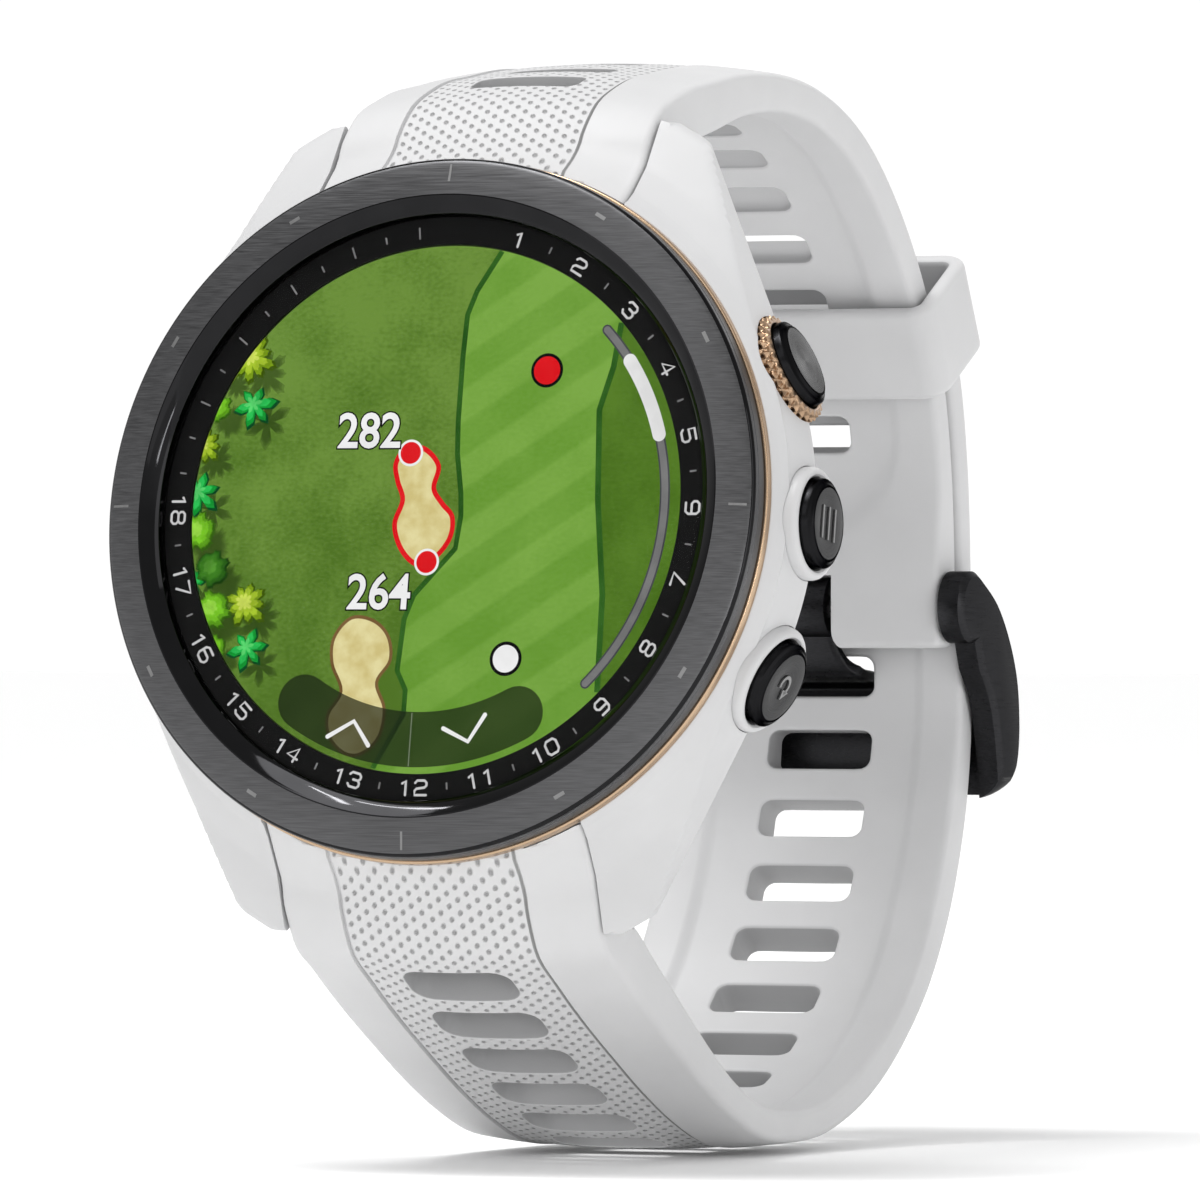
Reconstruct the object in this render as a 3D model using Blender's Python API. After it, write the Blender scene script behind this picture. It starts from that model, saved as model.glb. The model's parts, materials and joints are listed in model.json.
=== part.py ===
"""Golf GPS watch with a 42 mm case, fastened round an empty wrist opening.

+X points to 3 o'clock, the face looks towards -Y and leans back, and +Z is up. The origin is
the centre of the wrist opening. The head's pieces are drawn in the face's own frame, an empty
at the middle of the bezel: its X and Y are 3 and 12 o'clock, and its Z comes out of the glass,
so a depth behind the face is a negative z. The strap's outlines are (y, z) pairs, measured
behind and above the middle of the face. Every size is in millimetres.
"""

import math

import bmesh
import bpy
from mathutils import Matrix, Vector

MM = 0.001
GAP = 0.05  # clearance between pieces that touch

# Where the face is, and how far it leans back
FACE_Y, FACE_Z = -33.0, 6.0
FACE_LEAN = math.radians(9.9)
STEPS = 60  # sides of the large round pieces
HIDDEN_STEPS = 40  # sides of the large round pieces that the case hides
SMALL_STEPS = 12  # sides of screws, pins and bores

# Front stack: (inner radius, outer radius, top depth, bottom depth)
GLASS = (0.0, 16.95, 0.45, 1.25)
DIAL_RING = (15.45, 16.95, 1.30, 1.50)
DISPLAY = (0.0, 15.35, 1.30, 2.60)
BEZEL_INNER, BEZEL_CREST, BEZEL_RIM, BEZEL_DEPTH = 17.05, 18.0, 20.3, 1.95
GASKET = (17.3, 19.2, 2.0, 2.4)
TRIM_RING = (19.4, 20.72, 2.0, 2.88)

# Case body
CASE_TOP, CASE_EDGE, CASE_BOTTOM = 2.95, 7.0, 10.2
CASE_TOP_RADIUS, CASE_SIDE, CASE_BOTTOM_RADIUS = 20.72, 21.35, 19.8
LUG_SIDE_ANGLE = math.radians(24.8)
LUG_BEVEL_ANGLE, LUG_BEVEL = math.radians(60.4), 26.1
LUG_TIP = 23.7
LUG_GAP = 10.05  # half the space between a pair of lugs
STRAP_POCKET = 19.25  # how far from the middle the strap's pocket starts
CAVITY_RADIUS, LEDGE_RADIUS, LEDGE_TOP = 18.6, 15.6, 8.6
BAR_REACH, BAR_DEPTH, BAR_RADIUS = 21.5, 6.9, 0.75
BAR_BORE = BAR_RADIUS + GAP
BAR_END = 10.85

# Back of the case
BACK_RADIUS, BACK_TOP, BACK_BOTTOM = 19.3, 10.5, 11.5
WINDOW_RADIUS, WINDOW_CREST = 6.5, 12.0
SCREW_CIRCLE, SCREW_HEAD, SCREW_SHANK = 17.1, 1.0, 0.55
SCREW_SEAT, SCREW_TIP = 10.9, 8.9
PORT_CENTRE, PORT_HALF_X, PORT_HALF_Y, PORT_DEPTH = -11.2, 2.9, 1.2, 0.7
PIN_PITCH, PIN_RADIUS = 1.3, 0.35

# Buttons: angle from 3 o'clock
BUTTONS = {"action": 25.0, "menu": 0.0, "back": -25.0}
BUTTON_DEPTH = 6.5
BUTTON_STEPS = 24
CAP_RADIUS, CAP_FACE, CAP_BACK = 2.6, 22.4, 21.2
COLLAR_RADIUS, COLLAR_BORE = 3.25, 2.68
COLLAR_FACE, COLLAR_FLOOR, COLLAR_FOOT = 21.75, 20.6, 19.6
STEM_RADIUS, STEM_TIP = 1.0, 17.4
SEAL_OUTER, SEAL_FACE, SEAL_FOOT = 1.45, 19.5, 18.75
SWITCH_NEAR, SWITCH_FAR, SWITCH_HALF = 15.5, 16.9, 1.5

# Strap: outlines of the outer middle line, thickness and half widths
LUG_STATIONS = [  # (outer reach, outer depth, inner reach, inner depth) from the face's middle
    (19.4, 3.1, 19.4, 9.0),
    (21.2, 3.35, 21.2, 9.0),
    (23.2, 5.1, 22.9, 9.3),
    (25.3, 7.0, 24.4, 10.3),
]
UPPER_LINE = [
    (15.2, 25.1), (19.3, 25.7), (24.0, 26.25), (29.5, 26.3), (34.9, 25.7), (39.9, 24.3),
    (44.2, 22.2), (48.2, 19.1), (51.7, 15.3), (54.4, 11.2), (56.2, 7.0), (57.2, 2.0), (57.6, -3.4),
    (57.6, -8.4),
]
LOWER_LINE = [
    (5.6, -28.2), (9.2, -30.3), (13.2, -32.4), (17.4, -34.5), (21.9, -36.4), (26.6, -37.8),
    (31.6, -38.2), (36.4, -37.9), (41.0, -36.8), (45.1, -35.2), (49.2, -32.8), (53.2, -29.5),
    (56.4, -25.4), (58.5, -21.2), (59.8, -17.0), (60.4, -12.5),
]
UPPER_THICK, UPPER_END_THICK, LOWER_THICK = 2.6, 3.4, 2.3
UPPER_END_RUN = 3  # how many last stations carry the thicker end round the bar
LAYER_GAP = 0.3  # between the two layers where the strap overlaps
TAIL_STATIONS = (13, 12, 11, 10, 9)  # upper stations that the lower strap's free end lies on
CROWN_FRONT, CROWN_BACK = 1.35, 0.4
WIDTH_LUG, WIDTH_BACK = 9.95, 9.25
TAPER_END = 45.0  # how far behind the face the strap reaches its narrow width
SLOT_HALF, SLOT_ROUND = 3.4, 1.2
# Groups of slots: the first one's distance along the strap, the pitch and the number
UPPER_SLOTS = [(10.7, 4.75, 12)]
LOWER_SLOTS = [(10.35, 4.67, 6), (40.6, 4.85, 14)]

# Buckle, keeper and releases
PIVOT_Y, PIVOT_Z = 55.7, -5.9
NOTCH_HALF, NOTCH_TOP = 2.35, -3.6
ARM_INNER, ARM_OUTER, ARM_BOSS = 9.65, 11.3, 2.2
FRAME_BORE = 0.85
FRAME_OUTER_LINE = [
    (58.8, -5.9), (60.5, -7.9), (61.9, -10.3), (62.6, -12.8), (62.5, -15.2), (61.9, -17.0),
    (61.2, -17.5),
]
FRAME_INNER_LINE = [(60.3, -17.6), (59.3, -15.6), (58.6, -13.4), (57.7, -11.4), (56.7, -9.7)]
CROSSBAR_TOP = -12.95
TONGUE_LINE = [
    (55.7, -7.1), (56.0, -8.4), (56.8, -9.55), (58.2, -10.05), (60.0, -10.25), (61.1, -10.7),
    (61.45, -11.6),
]
TONGUE_THICK, TONGUE_BOSS, TONGUE_NECK, TONGUE_WIDE = 0.8, 1.55, 1.95, 3.0
TONGUE_EDGE, TONGUE_SIDE = 0.25, 0.55  # width of its bevel, and the share of the thickness it leaves
KEEPER_STATION, KEEPER_LENGTH, KEEPER_WALL, KEEPER_HALF = 9, 6.0, 1.05, 9.6
KEEPER_CORNER = 1.6
KEEPER_EASE_INSIDE, KEEPER_EASE_OUTSIDE = 0.45, 0.3
RELEASE_INNER, TAB_NEAR, TAB_FAR, TAB_DEPTH = 3.9, 3.95, 5.5, 9.6
RELEASE_TRAVEL = 1.4


def face_to_world(reach, depth):
    """(y, z) measured from the face's middle, for a reach towards 12 o'clock and a depth."""
    lean_sin, lean_cos = math.sin(FACE_LEAN), math.cos(FACE_LEAN)
    return (lean_sin * reach + lean_cos * depth, lean_cos * reach - lean_sin * depth)


def material(name, colour, roughness, metallic=0.0):
    made = bpy.data.materials.new(name)
    made.use_nodes = True
    shader = made.node_tree.nodes["Principled BSDF"]
    shader.inputs["Base Color"].default_value = (*colour, 1.0)
    shader.inputs["Roughness"].default_value = roughness
    shader.inputs["Metallic"].default_value = metallic
    made.diffuse_color = (*colour, 1.0)
    return made


def add_object(name, bm, colour=None, parent=None, matrix=None):
    """Links a mesh drawn in millimetres, in its parent's frame or under a placing matrix."""
    bmesh.ops.recalc_face_normals(bm, faces=bm.faces)
    bmesh.ops.scale(bm, vec=(MM, MM, MM), verts=bm.verts)
    mesh = bpy.data.meshes.new(name)
    bm.to_mesh(mesh)
    bm.free()
    mesh.shade_smooth()
    mesh.set_sharp_from_angle(angle=math.radians(30))
    obj = bpy.data.objects.new(name, mesh)
    bpy.context.scene.collection.objects.link(obj)
    obj.parent = parent
    if matrix is not None:
        obj.matrix_local = matrix
    if colour:
        mesh.materials.append(colour)
    return obj


def cutter(name, bm, target, matrix=None, operation="DIFFERENCE"):
    """Takes a shape out of a target, in the target's own frame."""
    tool = add_object(name, bm, parent=target.parent, matrix=matrix)
    tool.hide_render = True
    tool.display_type = "WIRE"
    boolean = target.modifiers.new(name, "BOOLEAN")
    boolean.operation = operation
    boolean.object = tool
    return tool


def placed(x=0.0, y=0.0, z=0.0, rotation=None):
    matrix = Matrix.Translation(Vector((x, y, z)) * MM)
    return matrix @ rotation.to_4x4() if rotation else matrix


def turned(profile, steps=STEPS):
    """A closed (radius, z) outline spun round Z. An outline that ends on the axis makes a solid disc."""
    bm = bmesh.new()
    verts = [bm.verts.new((radius, 0.0, z)) for radius, z in profile]
    pairs = list(zip(verts, verts[1:] + verts[:1]))
    edges = [bm.edges.new(pair) for pair in pairs if pair[0].co.x > 0 or pair[1].co.x > 0]
    bmesh.ops.spin(
        bm,
        geom=verts + edges,
        angle=2 * math.pi,
        steps=steps,
        axis=(0, 0, 1),
        cent=(0, 0, 0),
        use_merge=True,
    )
    bmesh.ops.remove_doubles(bm, verts=bm.verts, dist=0.0001)
    return bm


def ring(inner, outer, top, bottom, bevel=0.0, steps=STEPS):
    """A flat ring or disc between two depths, with its top outer edge bevelled."""
    profile = [(inner, -bottom), (outer, -bottom)]
    profile += [(outer, -top - bevel), (outer - bevel, -top)] if bevel else [(outer, -top)]
    return turned(profile + [(inner, -top)], steps)


def extruded(outline, low, high):
    """A flat (x, y) outline drawn out along Z."""
    bm = bmesh.new()
    face = bm.faces.new([bm.verts.new((x, y, low)) for x, y in outline])
    drawn = bmesh.ops.extrude_face_region(bm, geom=[face])
    verts = [item for item in drawn["geom"] if isinstance(item, bmesh.types.BMVert)]
    bmesh.ops.translate(bm, vec=(0, 0, high - low), verts=verts)
    return bm


def block(low, high):
    corners = [(low[0], low[1]), (high[0], low[1]), (high[0], high[1]), (low[0], high[1])]
    return extruded(corners, low[2], high[2])


def lofted(rings):
    """A skin of triangles through rings that have the same number of points, closed by flat ends."""
    bm = bmesh.new()
    rows = [[bm.verts.new(point) for point in points] for points in rings]
    for lower, upper in zip(rows, rows[1:]):
        for index in range(len(lower)):
            after = (index + 1) % len(lower)
            bm.faces.new((lower[index], lower[after], upper[after], upper[index]))
    bm.faces.new(rows[0])
    bm.faces.new(rows[-1])
    bmesh.ops.triangulate(bm, faces=bm.faces)
    return bm


def joined(parts):
    """Several separate shapes as one mesh, for a tool that cuts them all at once."""
    bm = bmesh.new()
    for part in parts:
        scratch = bpy.data.meshes.new("scratch")
        part.to_mesh(scratch)
        part.free()
        bm.from_mesh(scratch)
        bpy.data.meshes.remove(scratch)
    return bm


def moved(bm, matrix):
    bmesh.ops.transform(bm, matrix=matrix, verts=bm.verts)
    return bm


def arc(centre, radius, start, end, points):
    """Points on an arc, both ends included. The angles are in degrees."""
    angles = [math.radians(start + (end - start) * index / (points - 1)) for index in range(points)]
    return [(centre[0] + radius * math.cos(a), centre[1] + radius * math.sin(a)) for a in angles]


def rounded_box(half_x, half_y, radius, points=4):
    """The outline of a rectangle about the origin with round corners."""
    outline = []
    for quarter, (side_x, side_y) in enumerate(((1, 1), (-1, 1), (-1, -1), (1, -1))):
        centre = (side_x * (half_x - radius), side_y * (half_y - radius))
        outline += arc(centre, radius, 90 * quarter, 90 * quarter + 90, points)
    return outline


def smooth_line(points, substeps):
    """A Catmull-Rom curve through tuples of any length, with substeps spans between neighbours."""
    ends = [points[0]] + list(points) + [points[-1]]
    line = []
    for before, start, end, after in zip(ends, ends[1:], ends[2:], ends[3:]):
        for step in range(substeps):
            t = step / substeps
            weights = (
                (-t + 2 * t**2 - t**3) / 2,
                (2 - 5 * t**2 + 3 * t**3) / 2,
                (t + 4 * t**2 - 3 * t**3) / 2,
                (-(t**2) + t**3) / 2,
            )
            four = zip(before, start, end, after)
            line.append(tuple(sum(w * v for w, v in zip(weights, values)) for values in four))
    return line + [tuple(points[-1])]


def along_x(bm):
    """Turns a shape drawn along Z so that it runs along X."""
    return moved(bm, Matrix.Rotation(math.pi / 2, 4, "Y"))


# Head


def build_front(head, finish):
    add_object("glass_lens", ring(*GLASS, bevel=0.15), finish["glass"], head)
    add_object("hole_ring", ring(*DIAL_RING, steps=HIDDEN_STEPS), finish["ink"], head)
    add_object("display_module", ring(*DISPLAY, steps=HIDDEN_STEPS), finish["display"], head)
    bezel_profile = [
        (BEZEL_INNER, -BEZEL_DEPTH),
        (BEZEL_RIM, -BEZEL_DEPTH),
        (BEZEL_RIM, -0.62),
        (BEZEL_RIM - 0.2, -0.42),
        (BEZEL_CREST, 0.0),
        (BEZEL_INNER, -0.55),
    ]
    add_object("bezel", turned(bezel_profile), finish["bezel"], head)
    add_object("bezel_gasket", ring(*GASKET, steps=HIDDEN_STEPS), finish["rubber"], head)
    add_object("trim_ring", ring(*TRIM_RING, bevel=0.15), finish["rose_gold"], head)


def case_outline(depth, side, bevel, tip, limit):
    """The case seen from the front at one depth: a round body with lugs, cut off at the limit."""
    points = []
    for index in range(STEPS):
        angle = 2 * math.pi * index / STEPS
        folded = math.acos(abs(math.cos(angle)))
        reach = side
        if folded > LUG_SIDE_ANGLE:
            reach = min(
                side / math.cos(folded - LUG_SIDE_ANGLE),
                bevel / math.cos(folded - LUG_BEVEL_ANGLE),
                tip / math.sin(folded),
            )
        reach = min(reach, limit)
        points.append((reach * math.cos(angle), reach * math.sin(angle), -depth))
    return points


def build_case(head, finish):
    levels = [
        (CASE_TOP, CASE_SIDE, LUG_BEVEL, LUG_TIP, CASE_TOP_RADIUS),
        (3.7, CASE_SIDE - 0.25, LUG_BEVEL, LUG_TIP, 21.6),
        (5.2, CASE_SIDE - 0.1, LUG_BEVEL, LUG_TIP, 23.3),
        (CASE_EDGE, CASE_SIDE, LUG_BEVEL, LUG_TIP, 26.2),
        (7.7, CASE_SIDE - 0.35, LUG_BEVEL - 0.5, LUG_TIP - 0.45, 25.75),
        (9.0, CASE_SIDE - 1.3, LUG_BEVEL - 1.9, LUG_TIP - 1.2, 23.2),
        (CASE_BOTTOM, CASE_BOTTOM_RADIUS, LUG_BEVEL - 2.0, LUG_TIP - 1.4, CASE_BOTTOM_RADIUS),
    ]
    outlines = [case_outline(*level) for level in levels]
    body = add_object("case_body", lofted(outlines), finish["white"], head)
    below = CASE_BOTTOM + 1.0
    cavity = turned(
        [(0, -below), (LEDGE_RADIUS, -below), (LEDGE_RADIUS, -LEDGE_TOP), (CAVITY_RADIUS, -LEDGE_TOP),
         (CAVITY_RADIUS, 0), (0, 0)]
    )
    cutter("case_cavity", cavity, body)
    for name, side in (("upper", 1), ("lower", -1)):
        reach = sorted((side * STRAP_POCKET, side * 30.0))
        cutter(f"pocket_{name}", block((-LUG_GAP, reach[0], -15), (LUG_GAP, reach[1], 0)), body)
        bore = moved(
            along_x(ring(0, BAR_BORE, -BAR_END - GAP, BAR_END + GAP, steps=SMALL_STEPS)),
            Matrix.Translation((0, side * BAR_REACH, -BAR_DEPTH)),
        )
        cutter(f"bar_holes_{name}", bore, body)
    for name, angle in BUTTONS.items():
        hole = turned(
            [(0, 18.0), (SEAL_OUTER + GAP, 18.0), (SEAL_OUTER + GAP, COLLAR_FOOT - GAP),
             (COLLAR_RADIUS + GAP, COLLAR_FOOT - GAP), (COLLAR_RADIUS + GAP, 26.0), (0, 26.0)],
            BUTTON_STEPS,
        )
        cutter(f"{name}_hole", hole, body, button_matrix(angle))
    for index, (x, y) in enumerate(screw_places()):
        pilot = ring(0, SCREW_SHANK + GAP, SCREW_TIP - 0.15, CASE_BOTTOM + 1, steps=SMALL_STEPS)
        cutter(f"pilot_{index + 1}", pilot, body, placed(x, y))


def button_matrix(angle):
    """Places a shape drawn along Z so that it runs out through the case's side at an angle."""
    turn = Matrix.Rotation(math.radians(angle), 4, "Z") @ Matrix.Rotation(math.pi / 2, 4, "Y")
    return Matrix.Translation((0, 0, -BUTTON_DEPTH * MM)) @ turn


def screw_places():
    return [
        (SCREW_CIRCLE * math.cos(math.radians(a)), SCREW_CIRCLE * math.sin(math.radians(a)))
        for a in (45, 135, 225, 315)
    ]


def build_inside(head, finish):
    chassis = [
        (0, -3.3), (18.3, -3.3), (18.3, -2.9), (19.3, -2.9), (19.3, -2.45), (15.6, -2.45),
        (15.6, -2.75), (0, -2.75),
    ]
    add_object("inner_chassis", turned(chassis, HIDDEN_STEPS), finish["grey"], head)
    board = arc((0, 0), 16.6, -125, 125, 30)
    add_object("main_board", extruded(board, -4.3, -3.5), finish["board"], head)
    battery = extruded(rounded_box(11.3, 10.3, 2.0), -8.4, -5.0)
    add_object("battery", battery, finish["foil"], head, placed(-2.6))
    antenna = arc((0, 0), 18.2, 40, 320, 29) + arc((0, 0), 17.5, 320, 40, 29)
    add_object("gps_antenna", extruded(antenna, -5.0, -3.45), finish["copper"], head)
    motor = ring(0, 3.1, 5.2, 7.8, bevel=0.3, steps=20)
    add_object("vibration_motor", motor, finish["steel"], head, placed(-4.0, -14.0))
    sensor = extruded(rounded_box(4.4, 4.4, 0.6, 3), -10.3, -9.2)
    add_object("sensor_module", sensor, finish["board"], head)


def build_back(head, finish):
    gasket = ring(18.75, 19.2, BACK_TOP - 0.25, BACK_TOP - GAP, steps=HIDDEN_STEPS)
    add_object("back_gasket", gasket, finish["rubber"], head)
    cover = turned(
        [(WINDOW_RADIUS + GAP, -BACK_BOTTOM - 0.2), (9.5, -BACK_BOTTOM - 0.2),
         (BACK_RADIUS - 1.6, -BACK_BOTTOM), (BACK_RADIUS, -BACK_TOP - 0.3),
         (BACK_RADIUS, -BACK_TOP), (WINDOW_RADIUS + GAP, -BACK_TOP)]
    )
    back = add_object("case_back", cover, finish["grey"], head)
    port = block(
        (-PORT_HALF_X - GAP, PORT_CENTRE - PORT_HALF_Y - GAP, -BACK_BOTTOM - 1),
        (PORT_HALF_X + GAP, PORT_CENTRE + PORT_HALF_Y + GAP, -BACK_BOTTOM + PORT_DEPTH),
    )
    cutter("port_recess", port, back)
    for index, (x, y) in enumerate(screw_places()):
        seat = turned(
            [(0, -13), (SCREW_HEAD + GAP, -13), (SCREW_HEAD + GAP, -SCREW_SEAT + GAP),
             (SCREW_SHANK + GAP, -SCREW_SEAT + GAP), (SCREW_SHANK + GAP, -10), (0, -10)],
            SMALL_STEPS,
        )
        cutter(f"screw_seat_{index + 1}", seat, back, placed(x, y))
        screw = turned(
            [(0, -BACK_BOTTOM + 0.1), (SCREW_HEAD - 0.2, -BACK_BOTTOM + 0.1),
             (SCREW_HEAD, -BACK_BOTTOM + 0.25), (SCREW_HEAD, -SCREW_SEAT),
             (SCREW_SHANK, -SCREW_SEAT), (SCREW_SHANK, -SCREW_TIP), (0, -SCREW_TIP)],
            SMALL_STEPS,
        )
        screw_object = add_object(f"back_screw_{index + 1}", screw, finish["steel"], head, placed(x, y))
        socket = extruded(arc((0, 0), 0.5, 0, 300, 6), -13, -BACK_BOTTOM + 0.5)
        cutter(f"screw_socket_{index + 1}", socket, screw_object, placed(x, y))
    window = turned(
        [(0, -WINDOW_CREST), (3.6, -WINDOW_CREST + 0.1), (5.6, -WINDOW_CREST + 0.35),
         (WINDOW_RADIUS, -BACK_BOTTOM), (WINDOW_RADIUS, -10.6), (0, -10.6)],
        32,
    )
    add_object("sensor_window", window, finish["black_glass"], head)
    base = block(
        (-PORT_HALF_X, PORT_CENTRE - PORT_HALF_Y, -BACK_BOTTOM + PORT_DEPTH - 0.3),
        (PORT_HALF_X, PORT_CENTRE + PORT_HALF_Y, -BACK_BOTTOM + PORT_DEPTH - GAP),
    )
    add_object("charge_port", base, finish["black"], head)
    for index in range(4):
        root = BACK_BOTTOM - PORT_DEPTH + 0.3 + GAP
        pin = ring(0, PIN_RADIUS, root, BACK_BOTTOM - 0.15, steps=SMALL_STEPS)
        x = (index - 1.5) * PIN_PITCH
        add_object(f"charge_pin_{index + 1}", pin, finish["gold"], head, placed(x, PORT_CENTRE))


def build_buttons(head, finish):
    cap_profile = [
        (0, STEM_TIP), (STEM_RADIUS, STEM_TIP), (STEM_RADIUS, CAP_BACK), (CAP_RADIUS, CAP_BACK),
        (CAP_RADIUS, CAP_FACE - 0.3), (CAP_RADIUS - 0.3, CAP_FACE), (0, CAP_FACE),
    ]
    collar_profile = [
        (STEM_RADIUS + GAP, COLLAR_FOOT), (COLLAR_RADIUS, COLLAR_FOOT),
        (COLLAR_RADIUS, COLLAR_FACE - 0.25), (COLLAR_RADIUS - 0.2, COLLAR_FACE),
        (COLLAR_BORE, COLLAR_FACE), (COLLAR_BORE, COLLAR_FLOOR),
        (STEM_RADIUS + GAP, COLLAR_FLOOR),
    ]
    seal_profile = [
        (STEM_RADIUS + GAP, SEAL_FOOT), (SEAL_OUTER, SEAL_FOOT), (SEAL_OUTER, SEAL_FACE),
        (STEM_RADIUS + GAP, SEAL_FACE),
    ]
    for name, angle in BUTTONS.items():
        place = button_matrix(angle)
        collar = finish["rose_gold"] if name == "action" else finish["white"]
        add_object(f"{name}_button", turned(cap_profile, BUTTON_STEPS), finish["black_metal"], head, place)
        add_object(f"{name}_collar", turned(collar_profile, BUTTON_STEPS), collar, head, place)
        add_object(f"{name}_seal", turned(seal_profile, SMALL_STEPS), finish["rubber"], head, place)
        housing = extruded(rounded_box(SWITCH_HALF, SWITCH_HALF, 0.4, 2), SWITCH_NEAR, SWITCH_FAR)
        add_object(f"{name}_switch", housing, finish["black"], head, place)


# Strap


def strap_stations(line, side, thicknesses):
    """(outer y, z, inner y, z) stations: the lug end, then the line offset inwards by its thickness."""
    stations = []
    for outer_reach, outer_depth, inner_reach, inner_depth in LUG_STATIONS:
        outer = face_to_world(side * outer_reach, outer_depth)
        stations.append(outer + face_to_world(side * inner_reach, inner_depth))
    full = [stations[-1][:2]] + list(line)
    for index, thickness in enumerate(thicknesses):
        here = full[index + 1]
        after = full[min(index + 2, len(full) - 1)]
        before = full[index]
        run = Vector((after[0] - before[0], after[1] - before[1])).normalized()
        outward = Vector((-run.y, run.x)) * side
        stations.append((*here, here[0] - outward.x * thickness, here[1] - outward.y * thickness))
    return stations


def upper_stations():
    count = len(UPPER_LINE)
    thicknesses = [UPPER_THICK] * count
    for index in range(count - UPPER_END_RUN + 1, count):
        thicknesses[index] = UPPER_END_THICK
    thicknesses[0] = UPPER_THICK + 0.4
    return strap_stations(UPPER_LINE, 1, thicknesses)


def tail_point(station):
    """Where the lower strap's outer line lies over one of the upper strap's stations."""
    outer, inner = Vector(station[:2]), Vector(station[2:])
    return tuple(outer + (outer - inner).normalized() * (LAYER_GAP + LOWER_THICK))


def lower_stations():
    upper = upper_stations()
    offset = len(LUG_STATIONS)
    tail = [tail_point(upper[index + offset]) for index in TAIL_STATIONS]
    line = LOWER_LINE + tail
    thicknesses = [LOWER_THICK] * len(line)
    thicknesses[0] = LOWER_THICK + 0.5
    return strap_stations(line, -1, thicknesses)


def strap_ring(station):
    """One cross-section: crowned outside, flat inside, with softened edges."""
    outer, inner = Vector(station[:2]), Vector(station[2:])
    thick = (outer - inner).length
    outward = (outer - inner).normalized()
    share = min(max(outer.x / TAPER_END, 0.0), 1.0)
    half = WIDTH_LUG + (WIDTH_BACK - WIDTH_LUG) * share
    crown = CROWN_FRONT + (CROWN_BACK - CROWN_FRONT) * share
    edge = min(0.4, (thick - crown) / 2.5)
    side = [
        (0.55 * half, 0.3 * crown), (0.8 * half, 0.64 * crown), (half - edge, 0.93 * crown),
        (half, crown + edge), (half, thick - edge), (half - edge, thick),
    ]
    section = [(0.0, 0.0)] + side + [(-x, drop) for x, drop in reversed(side)]
    points = []
    for x, drop in section:
        at = outer - outward * drop
        points.append((x, at.x, at.y))
    return points


def slot_tool(line, distances):
    """Every slot of a strap as one tool: round-ended blocks square to the strap's outer line."""
    outline = rounded_box(SLOT_HALF, SLOT_ROUND, SLOT_ROUND - 0.01, 3)
    parts = []
    travelled = 0.0
    for start, end in zip(line, line[1:]):
        span = math.dist(start[:2], end[:2])
        for wanted in distances:
            if not travelled <= wanted < travelled + span:
                continue
            share = (wanted - travelled) / span
            here = [a + (b - a) * share for a, b in zip(start, end)]
            outer, inner = Vector(here[:2]), Vector(here[2:])
            outward = (outer - inner).normalized()
            frame = Matrix(((1, 0, 0), (0, -outward.y, outward.x), (0, outward.x, outward.y))).to_4x4()
            frame.translation = (0, outer.x, outer.y)
            parts.append(moved(extruded(outline, -6.0, 1.5), frame))
        travelled += span
    return joined(parts)


def build_strap(name, stations, groups, finish, world):
    rings = [strap_ring(station) for station in stations]
    strap = add_object(name, lofted(rings), finish["white_strap"], world)
    distances = [first + pitch * index for first, pitch, number in groups for index in range(number)]
    cutter(f"{name}_slots", slot_tool(stations, distances), strap)
    return strap


def build_straps(world, head, finish):
    upper = build_strap("strap_upper", upper_stations(), UPPER_SLOTS, finish, world)
    lower = build_strap("strap_lower", lower_stations(), LOWER_SLOTS, finish, world)
    for strap, side in ((upper, 1), (lower, -1)):
        y, z = face_to_world(side * BAR_REACH, BAR_DEPTH)
        bore = along_x(ring(0, BAR_BORE, -12, 12, steps=SMALL_STEPS))
        cutter(f"{strap.name}_bore", bore, strap, placed(0, y, z))
        slit_start, slit_end = TAB_NEAR - RELEASE_TRAVEL - 0.15, TAB_FAR + 0.15
        slit = block(
            (slit_start, side * BAR_REACH - 0.65, -13), (slit_end, side * BAR_REACH + 0.65, -BAR_DEPTH)
        )
        tool = cutter(f"{strap.name}_release_slit", slit, strap)
        tool.parent = head
    notch = block((-NOTCH_HALF, 50, -12), (NOTCH_HALF, 59, NOTCH_TOP))
    cutter("tongue_notch", notch, upper)
    bore = along_x(ring(0, BAR_BORE, -12, 12, steps=SMALL_STEPS))
    cutter("buckle_bar_bore", bore, upper, placed(0, PIVOT_Y, PIVOT_Z))


def build_bars(head, finish):
    for name, side in (("upper", 1), ("lower", -1)):
        place = placed(0, side * BAR_REACH, -BAR_DEPTH)
        bar_start = RELEASE_TRAVEL + 0.2 - RELEASE_INNER
        bar = along_x(ring(0, BAR_RADIUS, bar_start, BAR_END, steps=SMALL_STEPS))
        add_object(f"lug_bar_{name}", bar, finish["steel"], head, place)
        pin = along_x(ring(0, BAR_RADIUS, -BAR_END, -RELEASE_INNER, steps=SMALL_STEPS))
        release = add_object(f"release_pin_{name}", pin, finish["steel"], head, place)
        tab = block((TAB_NEAR, -0.5, BAR_DEPTH - TAB_DEPTH), (TAB_FAR, 0.5, 0))
        cutter(f"release_tab_{name}", tab, release, place, "UNION")


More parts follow.
